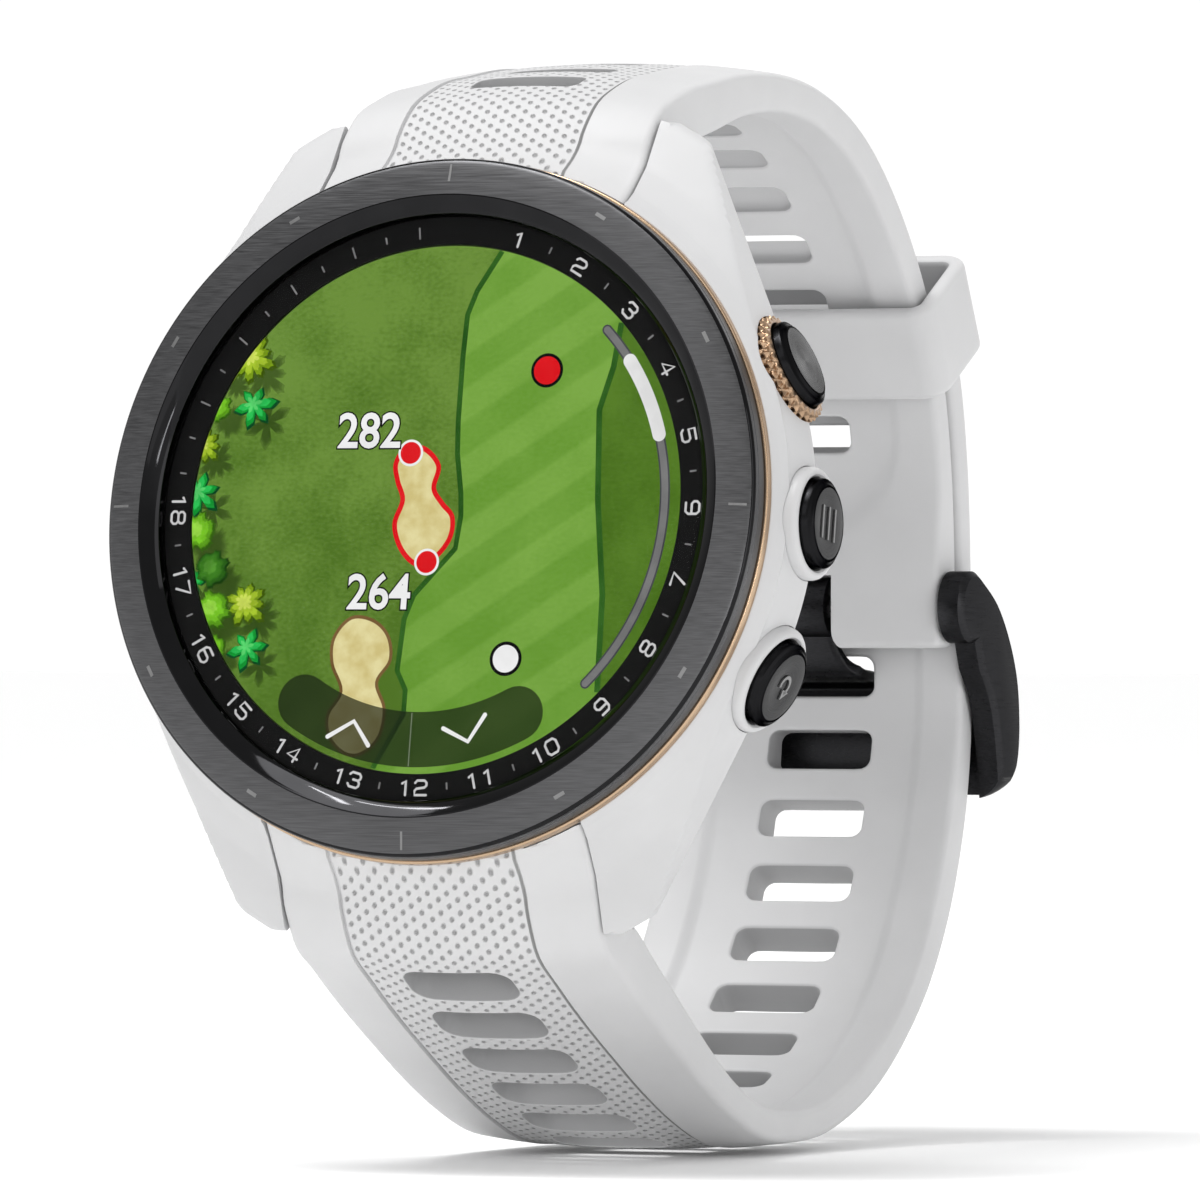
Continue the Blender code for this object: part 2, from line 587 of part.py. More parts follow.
def build_keeper(world, finish):
    station = upper_stations()[KEEPER_STATION + len(LUG_STATIONS)]
    outer, inner = Vector(station[:2]), Vector(station[2:])
    outward = (outer - inner).normalized()
    low, high = -UPPER_THICK - KEEPER_EASE_INSIDE, LAYER_GAP + LOWER_THICK + KEEPER_EASE_OUTSIDE
    middle, half = (low + high) / 2, (high - low) / 2
    frame = Matrix(((1, 0, 0), (0, outward.x, -outward.y), (0, outward.y, outward.x)))
    centre = outer + outward * middle
    place = placed(0, centre.x, centre.y, frame)
    outline = rounded_box(KEEPER_HALF + KEEPER_WALL, half + KEEPER_WALL, KEEPER_CORNER, 3)
    band = extruded(outline, -KEEPER_LENGTH / 2, KEEPER_LENGTH / 2)
    keeper = add_object("keeper_loop", band, finish["white_strap"], world, place)
    hole = extruded(rounded_box(KEEPER_HALF, half, 0.5, 3), -KEEPER_LENGTH, KEEPER_LENGTH)
    cutter("keeper_hole", hole, keeper, place)


def side_extruded(outline, low, high):
    """A (y, z) outline drawn out along X."""
    bm = extruded(outline, low, high)
    turn = Matrix(((0, 0, 1, 0), (1, 0, 0, 0), (0, 1, 0, 0), (0, 0, 0, 1)))
    return moved(bm, turn)


def build_buckle(world, finish):
    about_pivot = Matrix.Translation((0, -PIVOT_Y, -PIVOT_Z))
    place = placed(0, PIVOT_Y, PIVOT_Z)
    boss = arc((PIVOT_Y, PIVOT_Z), ARM_BOSS, -75, -300, 12)
    outline = boss + FRAME_OUTER_LINE + FRAME_INNER_LINE
    arms = moved(side_extruded(outline, -ARM_OUTER, ARM_OUTER), about_pivot)
    frame = add_object("buckle_frame", arms, finish["black_metal"], world, place)
    window = [(48, -19), (61.0, -19), (61.0, CROSSBAR_TOP), (66, CROSSBAR_TOP), (66, 0), (48, 0)]
    opening = moved(side_extruded(window, -ARM_INNER, ARM_INNER), about_pivot)
    cutter("frame_window", opening, frame, place)
    cutter("frame_bore", along_x(ring(0, FRAME_BORE, -14, 14, steps=16)), frame, place)
    bar = along_x(ring(0, BAR_RADIUS, -ARM_OUTER + 0.3, ARM_OUTER - 0.3, steps=SMALL_STEPS))
    add_object("buckle_bar", bar, finish["steel"], world, place)
    blade = tongue_mesh(about_pivot)
    tongue = add_object("buckle_tongue", blade, finish["black_metal"], world, place)
    eye = along_x(ring(0, TONGUE_BOSS, -TONGUE_NECK, TONGUE_NECK, steps=20))
    cutter("tongue_eye", eye, tongue, place, "UNION")
    cutter("tongue_bore", along_x(ring(0, FRAME_BORE, -4, 4, steps=16)), tongue, place)


def tongue_mesh(about_pivot):
    """A flat blade that follows its line, narrow at the bar and flared where it fills the slot."""
    line = smooth_line(TONGUE_LINE, 2)
    rings = []
    for index, (y, z) in enumerate(line):
        before, after = line[max(index - 1, 0)], line[min(index + 1, len(line) - 1)]
        run = Vector((after[0] - before[0], after[1] - before[1])).normalized()
        across = Vector((-run.y, run.x)) * TONGUE_THICK / 2
        share = min(index / 5, 1.0)
        half = TONGUE_NECK + (TONGUE_WIDE - TONGUE_NECK) * share * share
        edge, thin = half - TONGUE_EDGE, TONGUE_SIDE
        section = [
            (-edge, 1), (edge, 1), (half, thin), (half, -thin),
            (edge, -1), (-edge, -1), (-half, -thin), (-half, thin),
        ]
        rings.append([(x, y + across.x * n, z + across.y * n) for x, n in section])
    return moved(lofted(rings), about_pivot)


def main():
    for old in list(bpy.data.objects):
        bpy.data.objects.remove(old, do_unlink=True)
    finish = {
        "glass": material("glass", (0.9, 0.93, 0.95), 0.03),
        "ink": material("ink", (0.01, 0.01, 0.012), 0.35),
        "display": material("display", (0.16, 0.42, 0.06), 0.3),
        "bezel": material("bezel", (0.07, 0.07, 0.075), 0.32, 0.9),
        "rose_gold": material("rose_gold", (0.62, 0.4, 0.26), 0.28, 1.0),
        "white": material("white_polymer", (0.74, 0.74, 0.75), 0.45),
        "white_strap": material("white_silicone", (0.78, 0.78, 0.79), 0.55),
        "grey": material("grey_polymer", (0.3, 0.3, 0.31), 0.5),
        "rubber": material("seal_rubber", (0.02, 0.02, 0.02), 0.75),
        "board": material("circuit_board", (0.02, 0.16, 0.07), 0.45),
        "foil": material("battery_foil", (0.55, 0.56, 0.58), 0.4, 0.8),
        "copper": material("antenna_copper", (0.6, 0.3, 0.16), 0.35, 1.0),
        "steel": material("steel", (0.6, 0.6, 0.61), 0.3, 1.0),
        "gold": material("contact_gold", (0.8, 0.58, 0.25), 0.25, 1.0),
        "black": material("black_polymer", (0.02, 0.02, 0.022), 0.5),
        "black_glass": material("black_glass", (0.012, 0.012, 0.016), 0.08),
        "black_metal": material("black_metal", (0.03, 0.03, 0.032), 0.3, 0.7),
    }
    world = bpy.data.objects.new("face_middle", None)
    head = bpy.data.objects.new("head_frame", None)
    for empty in (world, head):
        bpy.context.scene.collection.objects.link(empty)
    world.location = Vector((0, FACE_Y, FACE_Z)) * MM
    head.location = world.location
    head.rotation_euler = (math.pi / 2 - FACE_LEAN, 0, 0)
    build_front(head, finish)
    build_case(head, finish)
    build_inside(head, finish)
    build_back(head, finish)
    build_buttons(head, finish)
    build_straps(world, head, finish)
    build_bars(head, finish)
    build_keeper(world, finish)
    build_buckle(world, finish)


main()
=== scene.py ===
"""Looks of the golf GPS watch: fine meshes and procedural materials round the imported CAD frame.

Everything is drawn in millimetres and then scaled. The head's pieces are drawn in the face's own
frame: X and Y are 3 and 12 o'clock, Z comes out of the glass, and a depth is a negative Z. The
strap's outlines are (y, z) pairs measured behind and above the middle of the face.
"""

import json
import math

import bmesh
import bpy
from mathutils import Matrix, Vector

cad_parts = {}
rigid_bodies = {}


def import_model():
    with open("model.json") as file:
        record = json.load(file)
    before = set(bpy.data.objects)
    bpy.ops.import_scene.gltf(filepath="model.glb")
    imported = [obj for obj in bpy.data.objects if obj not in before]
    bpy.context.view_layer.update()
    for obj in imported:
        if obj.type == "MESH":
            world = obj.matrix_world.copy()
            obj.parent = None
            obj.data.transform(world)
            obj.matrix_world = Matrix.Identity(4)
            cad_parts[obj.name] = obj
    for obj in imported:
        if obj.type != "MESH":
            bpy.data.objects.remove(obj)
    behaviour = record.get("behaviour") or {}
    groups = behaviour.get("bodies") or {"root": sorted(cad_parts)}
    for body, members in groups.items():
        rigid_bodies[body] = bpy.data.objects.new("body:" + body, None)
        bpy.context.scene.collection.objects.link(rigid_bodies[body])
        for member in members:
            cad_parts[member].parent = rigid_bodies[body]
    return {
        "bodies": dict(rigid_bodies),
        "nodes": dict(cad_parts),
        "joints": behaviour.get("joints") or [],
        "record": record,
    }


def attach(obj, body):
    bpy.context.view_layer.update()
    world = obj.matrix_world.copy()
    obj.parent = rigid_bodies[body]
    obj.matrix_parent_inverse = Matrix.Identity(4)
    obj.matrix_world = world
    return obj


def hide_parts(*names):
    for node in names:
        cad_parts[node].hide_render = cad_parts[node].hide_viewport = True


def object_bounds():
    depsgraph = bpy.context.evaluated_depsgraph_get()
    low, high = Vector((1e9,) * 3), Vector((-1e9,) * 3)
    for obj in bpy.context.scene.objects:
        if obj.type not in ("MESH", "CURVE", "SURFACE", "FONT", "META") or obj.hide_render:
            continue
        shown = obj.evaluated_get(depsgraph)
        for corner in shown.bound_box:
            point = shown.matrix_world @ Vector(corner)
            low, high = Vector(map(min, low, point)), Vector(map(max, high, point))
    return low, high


MM = 0.001
FACE = Vector((0.0, -33.0, 6.0))
FACE_LEAN = math.radians(9.9)
FLAT = Matrix.Scale(MM, 4) @ Matrix.Translation(FACE)
HEAD = FLAT @ Matrix.Rotation(math.pi / 2 - FACE_LEAN, 4, "X")
SIDEWAYS = Matrix(((0, 0, 1, 0), (1, 0, 0, 0), (0, 1, 0, 0), (0, 0, 0, 1)))  # (y, z) outlines
UPRIGHT = Matrix.Rotation(math.pi / 2, 4, "X")  # (x, z) outlines

STEPS, CASE_STEPS = 240, 480
SCREEN_RADIUS, RING_INNER, RING_OUTER, RING_TOP, FIGURE_RADIUS = 15.35, 15.45, 17.02, -1.3, 16.18
SCREEN_FLOOR, LAYER = -1.48, 0.012
BUTTONS = {"action": 25.0, "menu": 0.0, "back": -25.0}
BUTTON_DEPTH = 6.5

# Strap: (reach, depth) pairs at the lugs, seen from the face, then (y, z) pairs along the outer face
LUG_OUTER = [(19.4, 3.1), (21.2, 3.35), (23.2, 5.1), (25.3, 7.0)]
UPPER_LUG_INNER = [(19.4, 9.0), (21.2, 9.3), (22.5, 10.1), (23.5, 10.9)]
LOWER_LUG_INNER = [(19.4, 9.0), (21.0, 9.4), (21.85, 10.3), (22.6, 11.4)]
UPPER_LINE = [
    (15.2, 25.1), (19.3, 25.7), (24.0, 26.25), (29.5, 26.3), (34.9, 25.7), (39.9, 24.3),
    (44.2, 22.2), (48.2, 19.1), (51.7, 15.3), (54.4, 11.2), (56.2, 7.0), (57.2, 2.0), (57.6, -3.4),
    (57.6, -8.4),
]
LOWER_LINE = [
    (5.6, -28.2), (9.2, -30.3), (13.2, -32.4), (17.4, -34.5), (21.9, -36.4), (26.6, -37.8),
    (31.6, -38.2), (36.4, -37.9), (41.0, -36.8), (45.1, -35.2), (49.2, -32.8), (53.2, -29.5),
    (56.4, -25.4), (58.5, -21.2), (59.8, -17.0), (60.4, -12.5),
]
UPPER_THICK, LOWER_THICK, LAYER_GAP = 2.6, 2.3, 0.3
# Thickness at each point of the two lines above
UPPER_THICKNESSES = [4.1, 3.9, 3.4, 3.0, 2.8, 2.8, 2.85, 2.85, 2.7, 2.6, 2.6, 2.6, 3.4, 3.4]
LOWER_THICKNESSES = [
    4.6, 4.3, 3.9, 3.4, 2.9, 2.65, 2.5, 2.45, 2.5, 2.6, 2.7, 2.9, 3.1, 3.1, 2.9, 2.5,
]
TAIL_STATIONS = (13, 12, 11, 10, 9)
CROWN_FRONT, CROWN_BACK = 1.35, 0.4
WIDTH_LUG, WIDTH_BACK, TAPER_END = 9.95, 9.4, 45.0
SLOT_HALF = 3.4
# Groups of slots: the first one's distance along the strap, pitch, number, half height, corner
UPPER_SLOTS = [(10.7, 4.75, 12, 1.2, 0.72)]
LOWER_SLOTS = [(10.35, 4.67, 6, 1.6, 1.15), (40.6, 4.85, 14, 1.28, 0.7)]
PANEL_HALF, PANEL_DROP, GROOVE_HALF, GROOVE_DROP = 5.85, 0.1, 0.07, 0.28
RIM_OUTSIDE, RIM_INSIDE, EDGE_ROUND = 0.1, 0.24, 0.45
RECESS_HALF, RECESS_SLOPE, INNER_RECESS = 7.05, 1.0, 0.38
SLOT_ROWS, PANEL_COLUMNS, WALL_LOOPS = 8, 14, (5, 6, 7, 8, 9)
CORE = PANEL_HALF - 0.2  # the panel's middle, where the slots are
HEAD_EDGE = 20.5  # the case's radius where the strap meets it
TIP = 1.3  # the length of the strap's rounded end
UPPER_ROUND, LOWER_ROUND, UPPER_RECESS = 0.8, 1.3, 68.6  # end corners, and where the inner recess ends
RELEASE_X, RELEASE_REACH, RELEASE_HALF = 4.05, 21.5, (1.6, 0.65)  # the slits over the release tabs
PIVOT_Y, PIVOT_Z = 55.7, -5.9
NOTCH_HALF, NOTCH_TOP, TONGUE_EYE = 2.35, -3.95, 1.85
DIMPLE_ACROSS, DIMPLE_ALONG = 1.2, 0.9
DIMPLE_HALF_X, DIMPLE_HALF_Y, DIMPLE_SLANT = 0.15, 0.2, 0.35


# Materials


class Nodes:
    """A small helper that adds and links nodes of one material."""

    def __init__(self, name):
        self.material = bpy.data.materials.new(name)
        self.material.use_nodes = True
        self.tree = self.material.node_tree
        self.shader = self.tree.nodes["Principled BSDF"]

    def add(self, kind, inputs=None, **settings):
        node = self.tree.nodes.new(kind)
        for key, value in settings.items():
            setattr(node, key, value)
        for key, value in (inputs or {}).items():
            if isinstance(value, bpy.types.NodeSocket):
                self.tree.links.new(value, node.inputs[key])
            else:
                node.inputs[key].default_value = value
        return node

    def out(self, kind, inputs=None, **settings):
        """The first output of a new node."""
        return self.add(kind, inputs, **settings).outputs[0]

    def math(self, operation, first, second=0.0):
        return self.out("ShaderNodeMath", {0: first, 1: second}, operation=operation)

    def vector(self, operation, first, second=(0.0, 0.0, 0.0)):
        return self.out("ShaderNodeVectorMath", {0: first, 1: second}, operation=operation)

    def place(self, scale=(1.0, 1.0, 1.0), source="Object", rotation=(0.0, 0.0, 0.0)):
        """Coordinates in millimetres, or the UV map's own, stretched by a scale."""
        coordinates = self.add("ShaderNodeTexCoord").outputs[source]
        unit = 1.0 if source == "UV" else 1 / MM
        scaled = tuple(unit * value for value in scale)
        return self.out("ShaderNodeMapping", {"Vector": coordinates, "Scale": scaled, "Rotation": rotation})

    def noise(self, scale, source="Object", detail=3.0):
        inputs = {"Vector": self.place(scale, source), "Scale": 1.0, "Detail": detail}
        return self.add("ShaderNodeTexNoise", inputs).outputs["Fac"]

    def spread(self, value, low, high, start=0.3, end=0.7):
        """A number, or a pair of colours, that follows a noise value."""
        if isinstance(low, tuple):
            factor = self.spread(value, 0.0, 1.0, start, end)
            colours = {0: factor, 6: (*low, 1.0), 7: (*high, 1.0)}
            return self.add("ShaderNodeMix", colours, data_type="RGBA").outputs[2]
        limits = {"From Min": start, "From Max": end, "To Min": low, "To Max": high}
        return self.out("ShaderNodeMapRange", {"Value": value, **limits})

    def bump(self, height, distance, under=None):
        inputs = {"Height": height, "Distance": distance * MM, "Strength": 1.0}
        if under:
            inputs["Normal"] = under
        return self.out("ShaderNodeBump", inputs)

    def set(self, **inputs):
        names = {
            "colour": "Base Color", "roughness": "Roughness", "metallic": "Metallic", "normal": "Normal",
            "specular": "Specular IOR Level", "alpha": "Alpha", "emission": "Emission Color",
            "strength": "Emission Strength", "sheen": "Sheen Weight", "edge": "Specular Tint",
        }
        for key, value in inputs.items():
            socket = self.shader.inputs[names[key]]
            if isinstance(value, bpy.types.NodeSocket):
                self.tree.links.new(value, socket)
            elif isinstance(value, tuple):
                socket.default_value = (*value, 1.0)
            else:
                socket.default_value = value
        return self.material


def shade(colour, factor):
    return tuple(min(value * factor, 1.0) for value in colour)


def moulded(name, colour, roughness, grain=0.004, soft=0.0, specular=0.4):
    """Moulded plastic or rubber: a faint mottling, uneven gloss and a fine spark-eroded grain."""
    nodes = Nodes(name)
    cloud = nodes.noise((0.16, 0.16, 0.16))
    fine = nodes.noise((9.0, 9.0, 9.0), detail=2.0)
    return nodes.set(
        colour=nodes.spread(cloud, shade(colour, 0.965), shade(colour, 1.02)),
        roughness=nodes.spread(fine, roughness - 0.05, roughness + 0.07),
        normal=nodes.bump(fine, grain),
        specular=specular,
        sheen=soft,
    )


def brushed(name, colour, roughness, scale, depth=0.004, contrast=0.2, source="Object", edge=1.0):
    """Brushed metal: fine lines stretched along one direction, over slow changes of tone."""
    nodes = Nodes(name)
    lines = nodes.noise(scale, source, detail=6.0)
    cloud = nodes.noise((0.12, 0.12, 0.12))
    mixed = nodes.math("ADD", nodes.math("MULTIPLY", lines, 0.8), nodes.math("MULTIPLY", cloud, 0.2))
    return nodes.set(
        colour=nodes.spread(mixed, shade(colour, 1 - contrast), shade(colour, 1 + contrast)),
        roughness=nodes.spread(lines, roughness * 0.8, roughness * 1.3),
        metallic=1.0,
        normal=nodes.bump(lines, depth),
        edge=(edge, edge, edge),
    )


def spun(name, colour, roughness):
    """Metal turned on a lathe: fine rings, and a gloss that spreads along them."""
    nodes = Nodes(name)
    rings = nodes.noise((1.5, 26.0, 1.0), "UV", detail=5.0)
    tangent = nodes.out("ShaderNodeTangent", direction_type="UV_MAP")
    nodes.tree.links.new(tangent, nodes.shader.inputs["Tangent"])
    nodes.shader.inputs["Anisotropic"].default_value = 0.8
    return nodes.set(
        colour=nodes.spread(rings, shade(colour, 0.7), shade(colour, 1.4)),
        roughness=nodes.spread(rings, roughness - 0.06, roughness + 0.08),
        metallic=1.0,
        normal=nodes.bump(rings, 0.002),
    )


def dimpled(name, colour, roughness):
    """The strap's grip panel: staggered diamond dimples laid out on the UV map, in millimetres, each one
    darkened in colour as painted shade.
    """
    nodes = Nodes(name)
    uv = nodes.add("ShaderNodeTexCoord").outputs["UV"]
    marks = []
    stretch = (DIMPLE_ACROSS / DIMPLE_HALF_X, DIMPLE_ALONG / DIMPLE_HALF_Y, 0.0)
    for offset in (0.0, 0.5):
        pitch = {"Scale": (1 / DIMPLE_ACROSS, 1 / DIMPLE_ALONG, 1.0), "Location": (offset, offset, 0.0)}
        folded = nodes.vector("FRACTION", nodes.out("ShaderNodeMapping", {"Vector": uv, **pitch}))
        sized = nodes.vector("MULTIPLY", nodes.vector("SUBTRACT", folded, (0.5, 0.5, 0.0)), stretch)
        split = nodes.add("ShaderNodeSeparateXYZ", {0: sized}).outputs
        leaning = nodes.math("ADD", split[0], nodes.math("MULTIPLY", split[1], DIMPLE_SLANT))
        squares = [nodes.math("MULTIPLY", value, value) for value in (leaning, split[1])]
        marks.append(nodes.math("SQRT", nodes.math("ADD", *squares)))
    pit = nodes.spread(nodes.math("MINIMUM", *marks), 1.0, 0.0, 0.4, 1.15)
    fine = nodes.noise((9.0, 9.0, 9.0), detail=2.0)
    grain = nodes.bump(fine, 0.004)
    return nodes.set(
        # Each dimple is darkened in colour: painted shade in the pit.
        colour=nodes.spread(pit, colour, shade(colour, 0.5), 0.35, 1.0),
        roughness=roughness,
        normal=nodes.bump(nodes.math("SUBTRACT", 1.0, pit), 0.16, grain),
        specular=0.35,
    )


def lit(name, low, high, scale=(0.5, 0.5, 0.5), strength=1.0, alpha=1.0, detail=4.0):
    """A colour that gives off light with a slow variation, and no gloss of its own: the screen's own light,
    and a painted glow on the ring's printed figures and ticks.
    """
    nodes = Nodes(name)
    tone = nodes.spread(nodes.noise(scale, detail=detail), low, high, 0.35, 0.65)
    return nodes.set(
        colour=(0.0, 0.0, 0.0), roughness=0.6, specular=0.0, emission=tone, strength=strength, alpha=alpha
    )


def grass(name, dark, light, stripes=False):
    """Turf seen from above: mottled, with fine blades, and mown in diagonal stripes on the fairway."""
    nodes = Nodes(name)
    cloud = nodes.noise((0.22, 0.22, 0.22), "UV", detail=4.0)
    blades = nodes.noise((3.2, 5.0, 1.0), "UV", detail=4.0)
    tone = nodes.math("ADD", nodes.math("MULTIPLY", cloud, 0.62), nodes.math("MULTIPLY", blades, 0.38))
    split = nodes.add("ShaderNodeSeparateXYZ", {0: nodes.place(source="UV")})
    height = split.outputs[1]
    tone = nodes.math("ADD", tone, nodes.math("MULTIPLY", height, 0.006))
    if stripes:
        turned = nodes.place((1.0, 1.0, 1.0), "UV", (0.0, 0.0, math.radians(-33.0)))
        across = nodes.add("ShaderNodeSeparateXYZ", {0: turned}).outputs[1]
        wave = nodes.math("SINE", nodes.math("MULTIPLY", across, 2 * math.pi / 3.4))
        bands = nodes.spread(wave, -0.06, 0.06, -0.25, 0.25)
        tone = nodes.math("ADD", nodes.math("MULTIPLY", tone, 0.5), nodes.math("ADD", bands, 0.25))
    colour = nodes.spread(tone, dark, light, 0.38, 0.62)
    return nodes.set(colour=(0.0, 0.0, 0.0), roughness=0.6, specular=0.0, emission=colour, strength=1.0)


def srgb(red, green, blue):
    """A colour as linear light from its usual 0 to 255 values."""
    return tuple(
        (value / 255 / 12.92) if value <= 10 else ((value / 255 + 0.055) / 1.055) ** 2.4
        for value in (red, green, blue)
    )


def make_materials():
    white = (0.585, 0.585, 0.59)
    steel = (0.1, 0.1, 0.103)
    return {
        "case": moulded("case_white", white, 0.42),
        "collar": moulded("collar_white", white, 0.4),
        "silicone": moulded("silicone_white", (0.61, 0.61, 0.615), 0.5, soft=0.05),
        # A darker copy of the strap silicone for the groove round the grip panel: painted shade.
        "painted_groove_shade": moulded("silicone_painted_groove_shade", (0.4, 0.4, 0.4), 0.6),
        # A darker copy of the strap silicone for the slot walls and the keeper's inside: painted shade.
        "painted_wall_shade": moulded("silicone_painted_wall_shade", (0.4, 0.4, 0.405), 0.55),
        "grip": dimpled("silicone_grip", (0.62, 0.62, 0.625), 0.6),
        "bezel": brushed("bezel_brushed", steel, 0.36, (0.35, 4.0, 18.0), depth=0.003, contrast=0.28),
        "chamfer": brushed("bezel_polished", (0.02, 0.02, 0.021), 0.06, (0.4, 0.4, 0.4), 0.0004, 0.1),
        "mark": brushed("bezel_marks", (0.24, 0.24, 0.24), 0.4, (2.0, 2.0, 2.0), 0.002, 0.1),
        "rose": brushed("rose_gold", (0.52, 0.37, 0.245), 0.22, (0.6, 30.0, 1.0), 0.002, 0.12, "UV"),
        # The knurled collar's rose gold is a darker copy of the ring's: painted shade for the knurl's pits.
        "knurl": brushed("rose_gold_knurled_painted_shade", (0.4, 0.27, 0.175), 0.3, (0.6, 30.0, 1.0), 0.002, 0.2, "UV"),
        "ink": moulded("ring_ink", (0.004, 0.004, 0.004), 0.3, grain=0.0001, specular=0.06),
        # The ring's printed figures and ticks glow though they are no lamp: painted light.
        "figure": lit("figure_white_painted_glow", srgb(196, 196, 196), srgb(214, 214, 214), (1.0, 1.0, 1.0)),
        "tick": lit("tick_grey_painted_glow", srgb(112, 112, 112), srgb(136, 136, 136), (1.0, 1.0, 1.0)),
        "cap": spun("cap_spun", (0.016, 0.016, 0.017), 0.24),
        "cap_edge": brushed(
            "cap_edge", (0.015, 0.015, 0.016), 0.22, (12.0, 4.0, 1.0), 0.002, 0.15, "UV", edge=0.4
        ),
        "buckle": brushed(
            "buckle_black", (0.032, 0.032, 0.034), 0.32, (3.0, 0.4, 14.0), 0.001, 0.25, edge=0.5
        ),
        "steel": brushed("turned_steel", (0.55, 0.55, 0.56), 0.3, (1.0, 9.0, 9.0), 0.003, 0.12),
        "rubber": moulded("seal_rubber", (0.02, 0.02, 0.02), 0.72),
        "grey": moulded("back_grey", (0.33, 0.33, 0.34), 0.5),
        "black": moulded("black_polymer", (0.018, 0.018, 0.02), 0.48),
        "sensor": moulded("sensor_glass", (0.01, 0.01, 0.013), 0.1, grain=0.0005),
        "gold": brushed("contact_gold", (0.8, 0.58, 0.27), 0.24, (6.0, 6.0, 6.0), 0.001, 0.08),
        "copper": brushed("antenna_copper", (0.62, 0.32, 0.18), 0.34, (2.0, 8.0, 8.0), 0.002, 0.12),
        "board": moulded("board_green", (0.015, 0.13, 0.055), 0.4),
        "foil": brushed("battery_foil", (0.55, 0.56, 0.58), 0.38, (0.6, 0.6, 0.6), 0.02, 0.06),
        "eye": moulded("sensor_eye", (0.05, 0.05, 0.07), 0.2, grain=0.0005),
        "gasket": moulded("gasket_black", (0.02, 0.02, 0.02), 0.7),
    }


# Meshes


def new_object(name, data):
    obj = bpy.data.objects.new(name, data)
    bpy.context.scene.collection.objects.link(obj)
    return obj


def new_mesh(name, bm):
    mesh = bpy.data.meshes.new(name)
    bm.to_mesh(mesh)
    bm.free()
    return mesh


def piece(name, bm, materials, body="watch", matrix=HEAD, replaces=(), angle=32.0):
    """Adds a mesh drawn in millimetres, placed by its matrix, that rides on a CAD body."""
    bmesh.ops.remove_doubles(bm, verts=bm.verts, dist=1e-3)
    bmesh.ops.transform(bm, matrix=matrix, verts=bm.verts)
    bmesh.ops.recalc_face_normals(bm, faces=bm.faces)
    mesh = new_mesh(name, bm)
    mesh.shade_smooth()
    mesh.set_sharp_from_angle(angle=math.radians(angle))
    for material in materials if isinstance(materials, list) else [materials]:
        mesh.materials.append(material)
    obj = new_object(name, mesh)
    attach(obj, body)
    if replaces:
        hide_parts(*replaces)
    return obj


def skin(rows, closed=True, capped=False, looped=False, paint=None):
    """A bmesh through rows of points. The UV map holds (share along the row, distance between rows)."""
    bm = bmesh.new()
    layer = bm.loops.layers.uv.new("UVMap")
    verts = [[bm.verts.new(point) for point in row] for row in rows]
    heights = [0.0]
    for before, after in zip(rows, rows[1:] + rows[:1]):
        heights.append(heights[-1] + (Vector(after[0]) - Vector(before[0])).length)
    count = len(rows[0])
    for index in range(len(rows) if looped else len(rows) - 1):
        lower, upper = verts[index], verts[(index + 1) % len(rows)]
        for column in range(count if closed else count - 1):
            after = (column + 1) % count
            corners = [(lower[column], column, index), (lower[after], column + 1, index),
                       (upper[after], column + 1, index + 1), (upper[column], column, index + 1)]
            face = bm.faces.new([corner[0] for corner in corners])
            if paint:
                face.material_index = paint(index)
            for loop, (_, across, up) in zip(face.loops, corners):
                loop[layer].uv = (across / count, heights[up])
    if capped:
        bm.faces.new(verts[0])
        bm.faces.new(verts[-1])
    return bm


def circle(radius, z, steps=STEPS):
    turns = [2 * math.pi * index / steps for index in range(steps)]
    return [(radius * math.cos(a), radius * math.sin(a), z) for a in turns]


def turned(profile, steps=STEPS, looped=True, paint=None):
    """A closed (radius, z) outline spun round Z. A radius of 0 closes the end with a fan."""
    rows = [circle(max(radius, 1e-4), z, steps) for radius, z in profile]
    return skin(rows, looped=looped, paint=paint)


def extruded(outline, low, high):
    bm = bmesh.new()
    bottom = [bm.verts.new((x, y, low)) for x, y in outline]
    top = [bm.verts.new((x, y, high)) for x, y in outline]
    bm.faces.new(bottom)
    bm.faces.new(top)
    for index in range(len(outline)):
        after = (index + 1) % len(outline)
        bm.faces.new((bottom[index], bottom[after], top[after], top[index]))
    return bm


def box_mesh(low, high):
    corners = [(low[0], low[1]), (high[0], low[1]), (high[0], high[1]), (low[0], high[1])]
    return extruded(corners, low[2], high[2])


def moved(bm, matrix):
    bmesh.ops.transform(bm, matrix=matrix, verts=bm.verts)
    return bm


def joined(parts):
    bm = bmesh.new()
    for part in parts:
        scratch = new_mesh("scratch", part)
        bm.from_mesh(scratch)
        bpy.data.meshes.remove(scratch)
    return bm


def arc(centre, radius, start, end, points):
    turns = [math.radians(start + (end - start) * index / (points - 1)) for index in range(points)]
    return [(centre[0] + radius * math.cos(a), centre[1] + radius * math.sin(a)) for a in turns]


def rounded_box(half_x, half_y, radius, points=6):
    outline = []
    for quarter, (side_x, side_y) in enumerate(((1, 1), (-1, 1), (-1, -1), (1, -1))):
        centre = (side_x * (half_x - radius), side_y * (half_y - radius))
        outline += arc(centre, radius, 90 * quarter, 90 * quarter + 90, points)
    return outline


def cut(obj, tools, matrix=HEAD, operation="DIFFERENCE"):
    """Takes closed shapes away from a piece, or adds them, and keeps the result as its mesh."""
    cutters = []
    for index, bm in enumerate(tools):
        bmesh.ops.transform(bm, matrix=matrix, verts=bm.verts)
        bmesh.ops.recalc_face_normals(bm, faces=bm.faces)
        tool = new_object("cutter", new_mesh("cutter", bm))
        boolean = obj.modifiers.new(f"cut_{index}", "BOOLEAN")
        boolean.object = tool
        boolean.operation = operation
        cutters.append(tool)
    bake(obj)
    for tool in cutters:
        bpy.data.meshes.remove(tool.data)


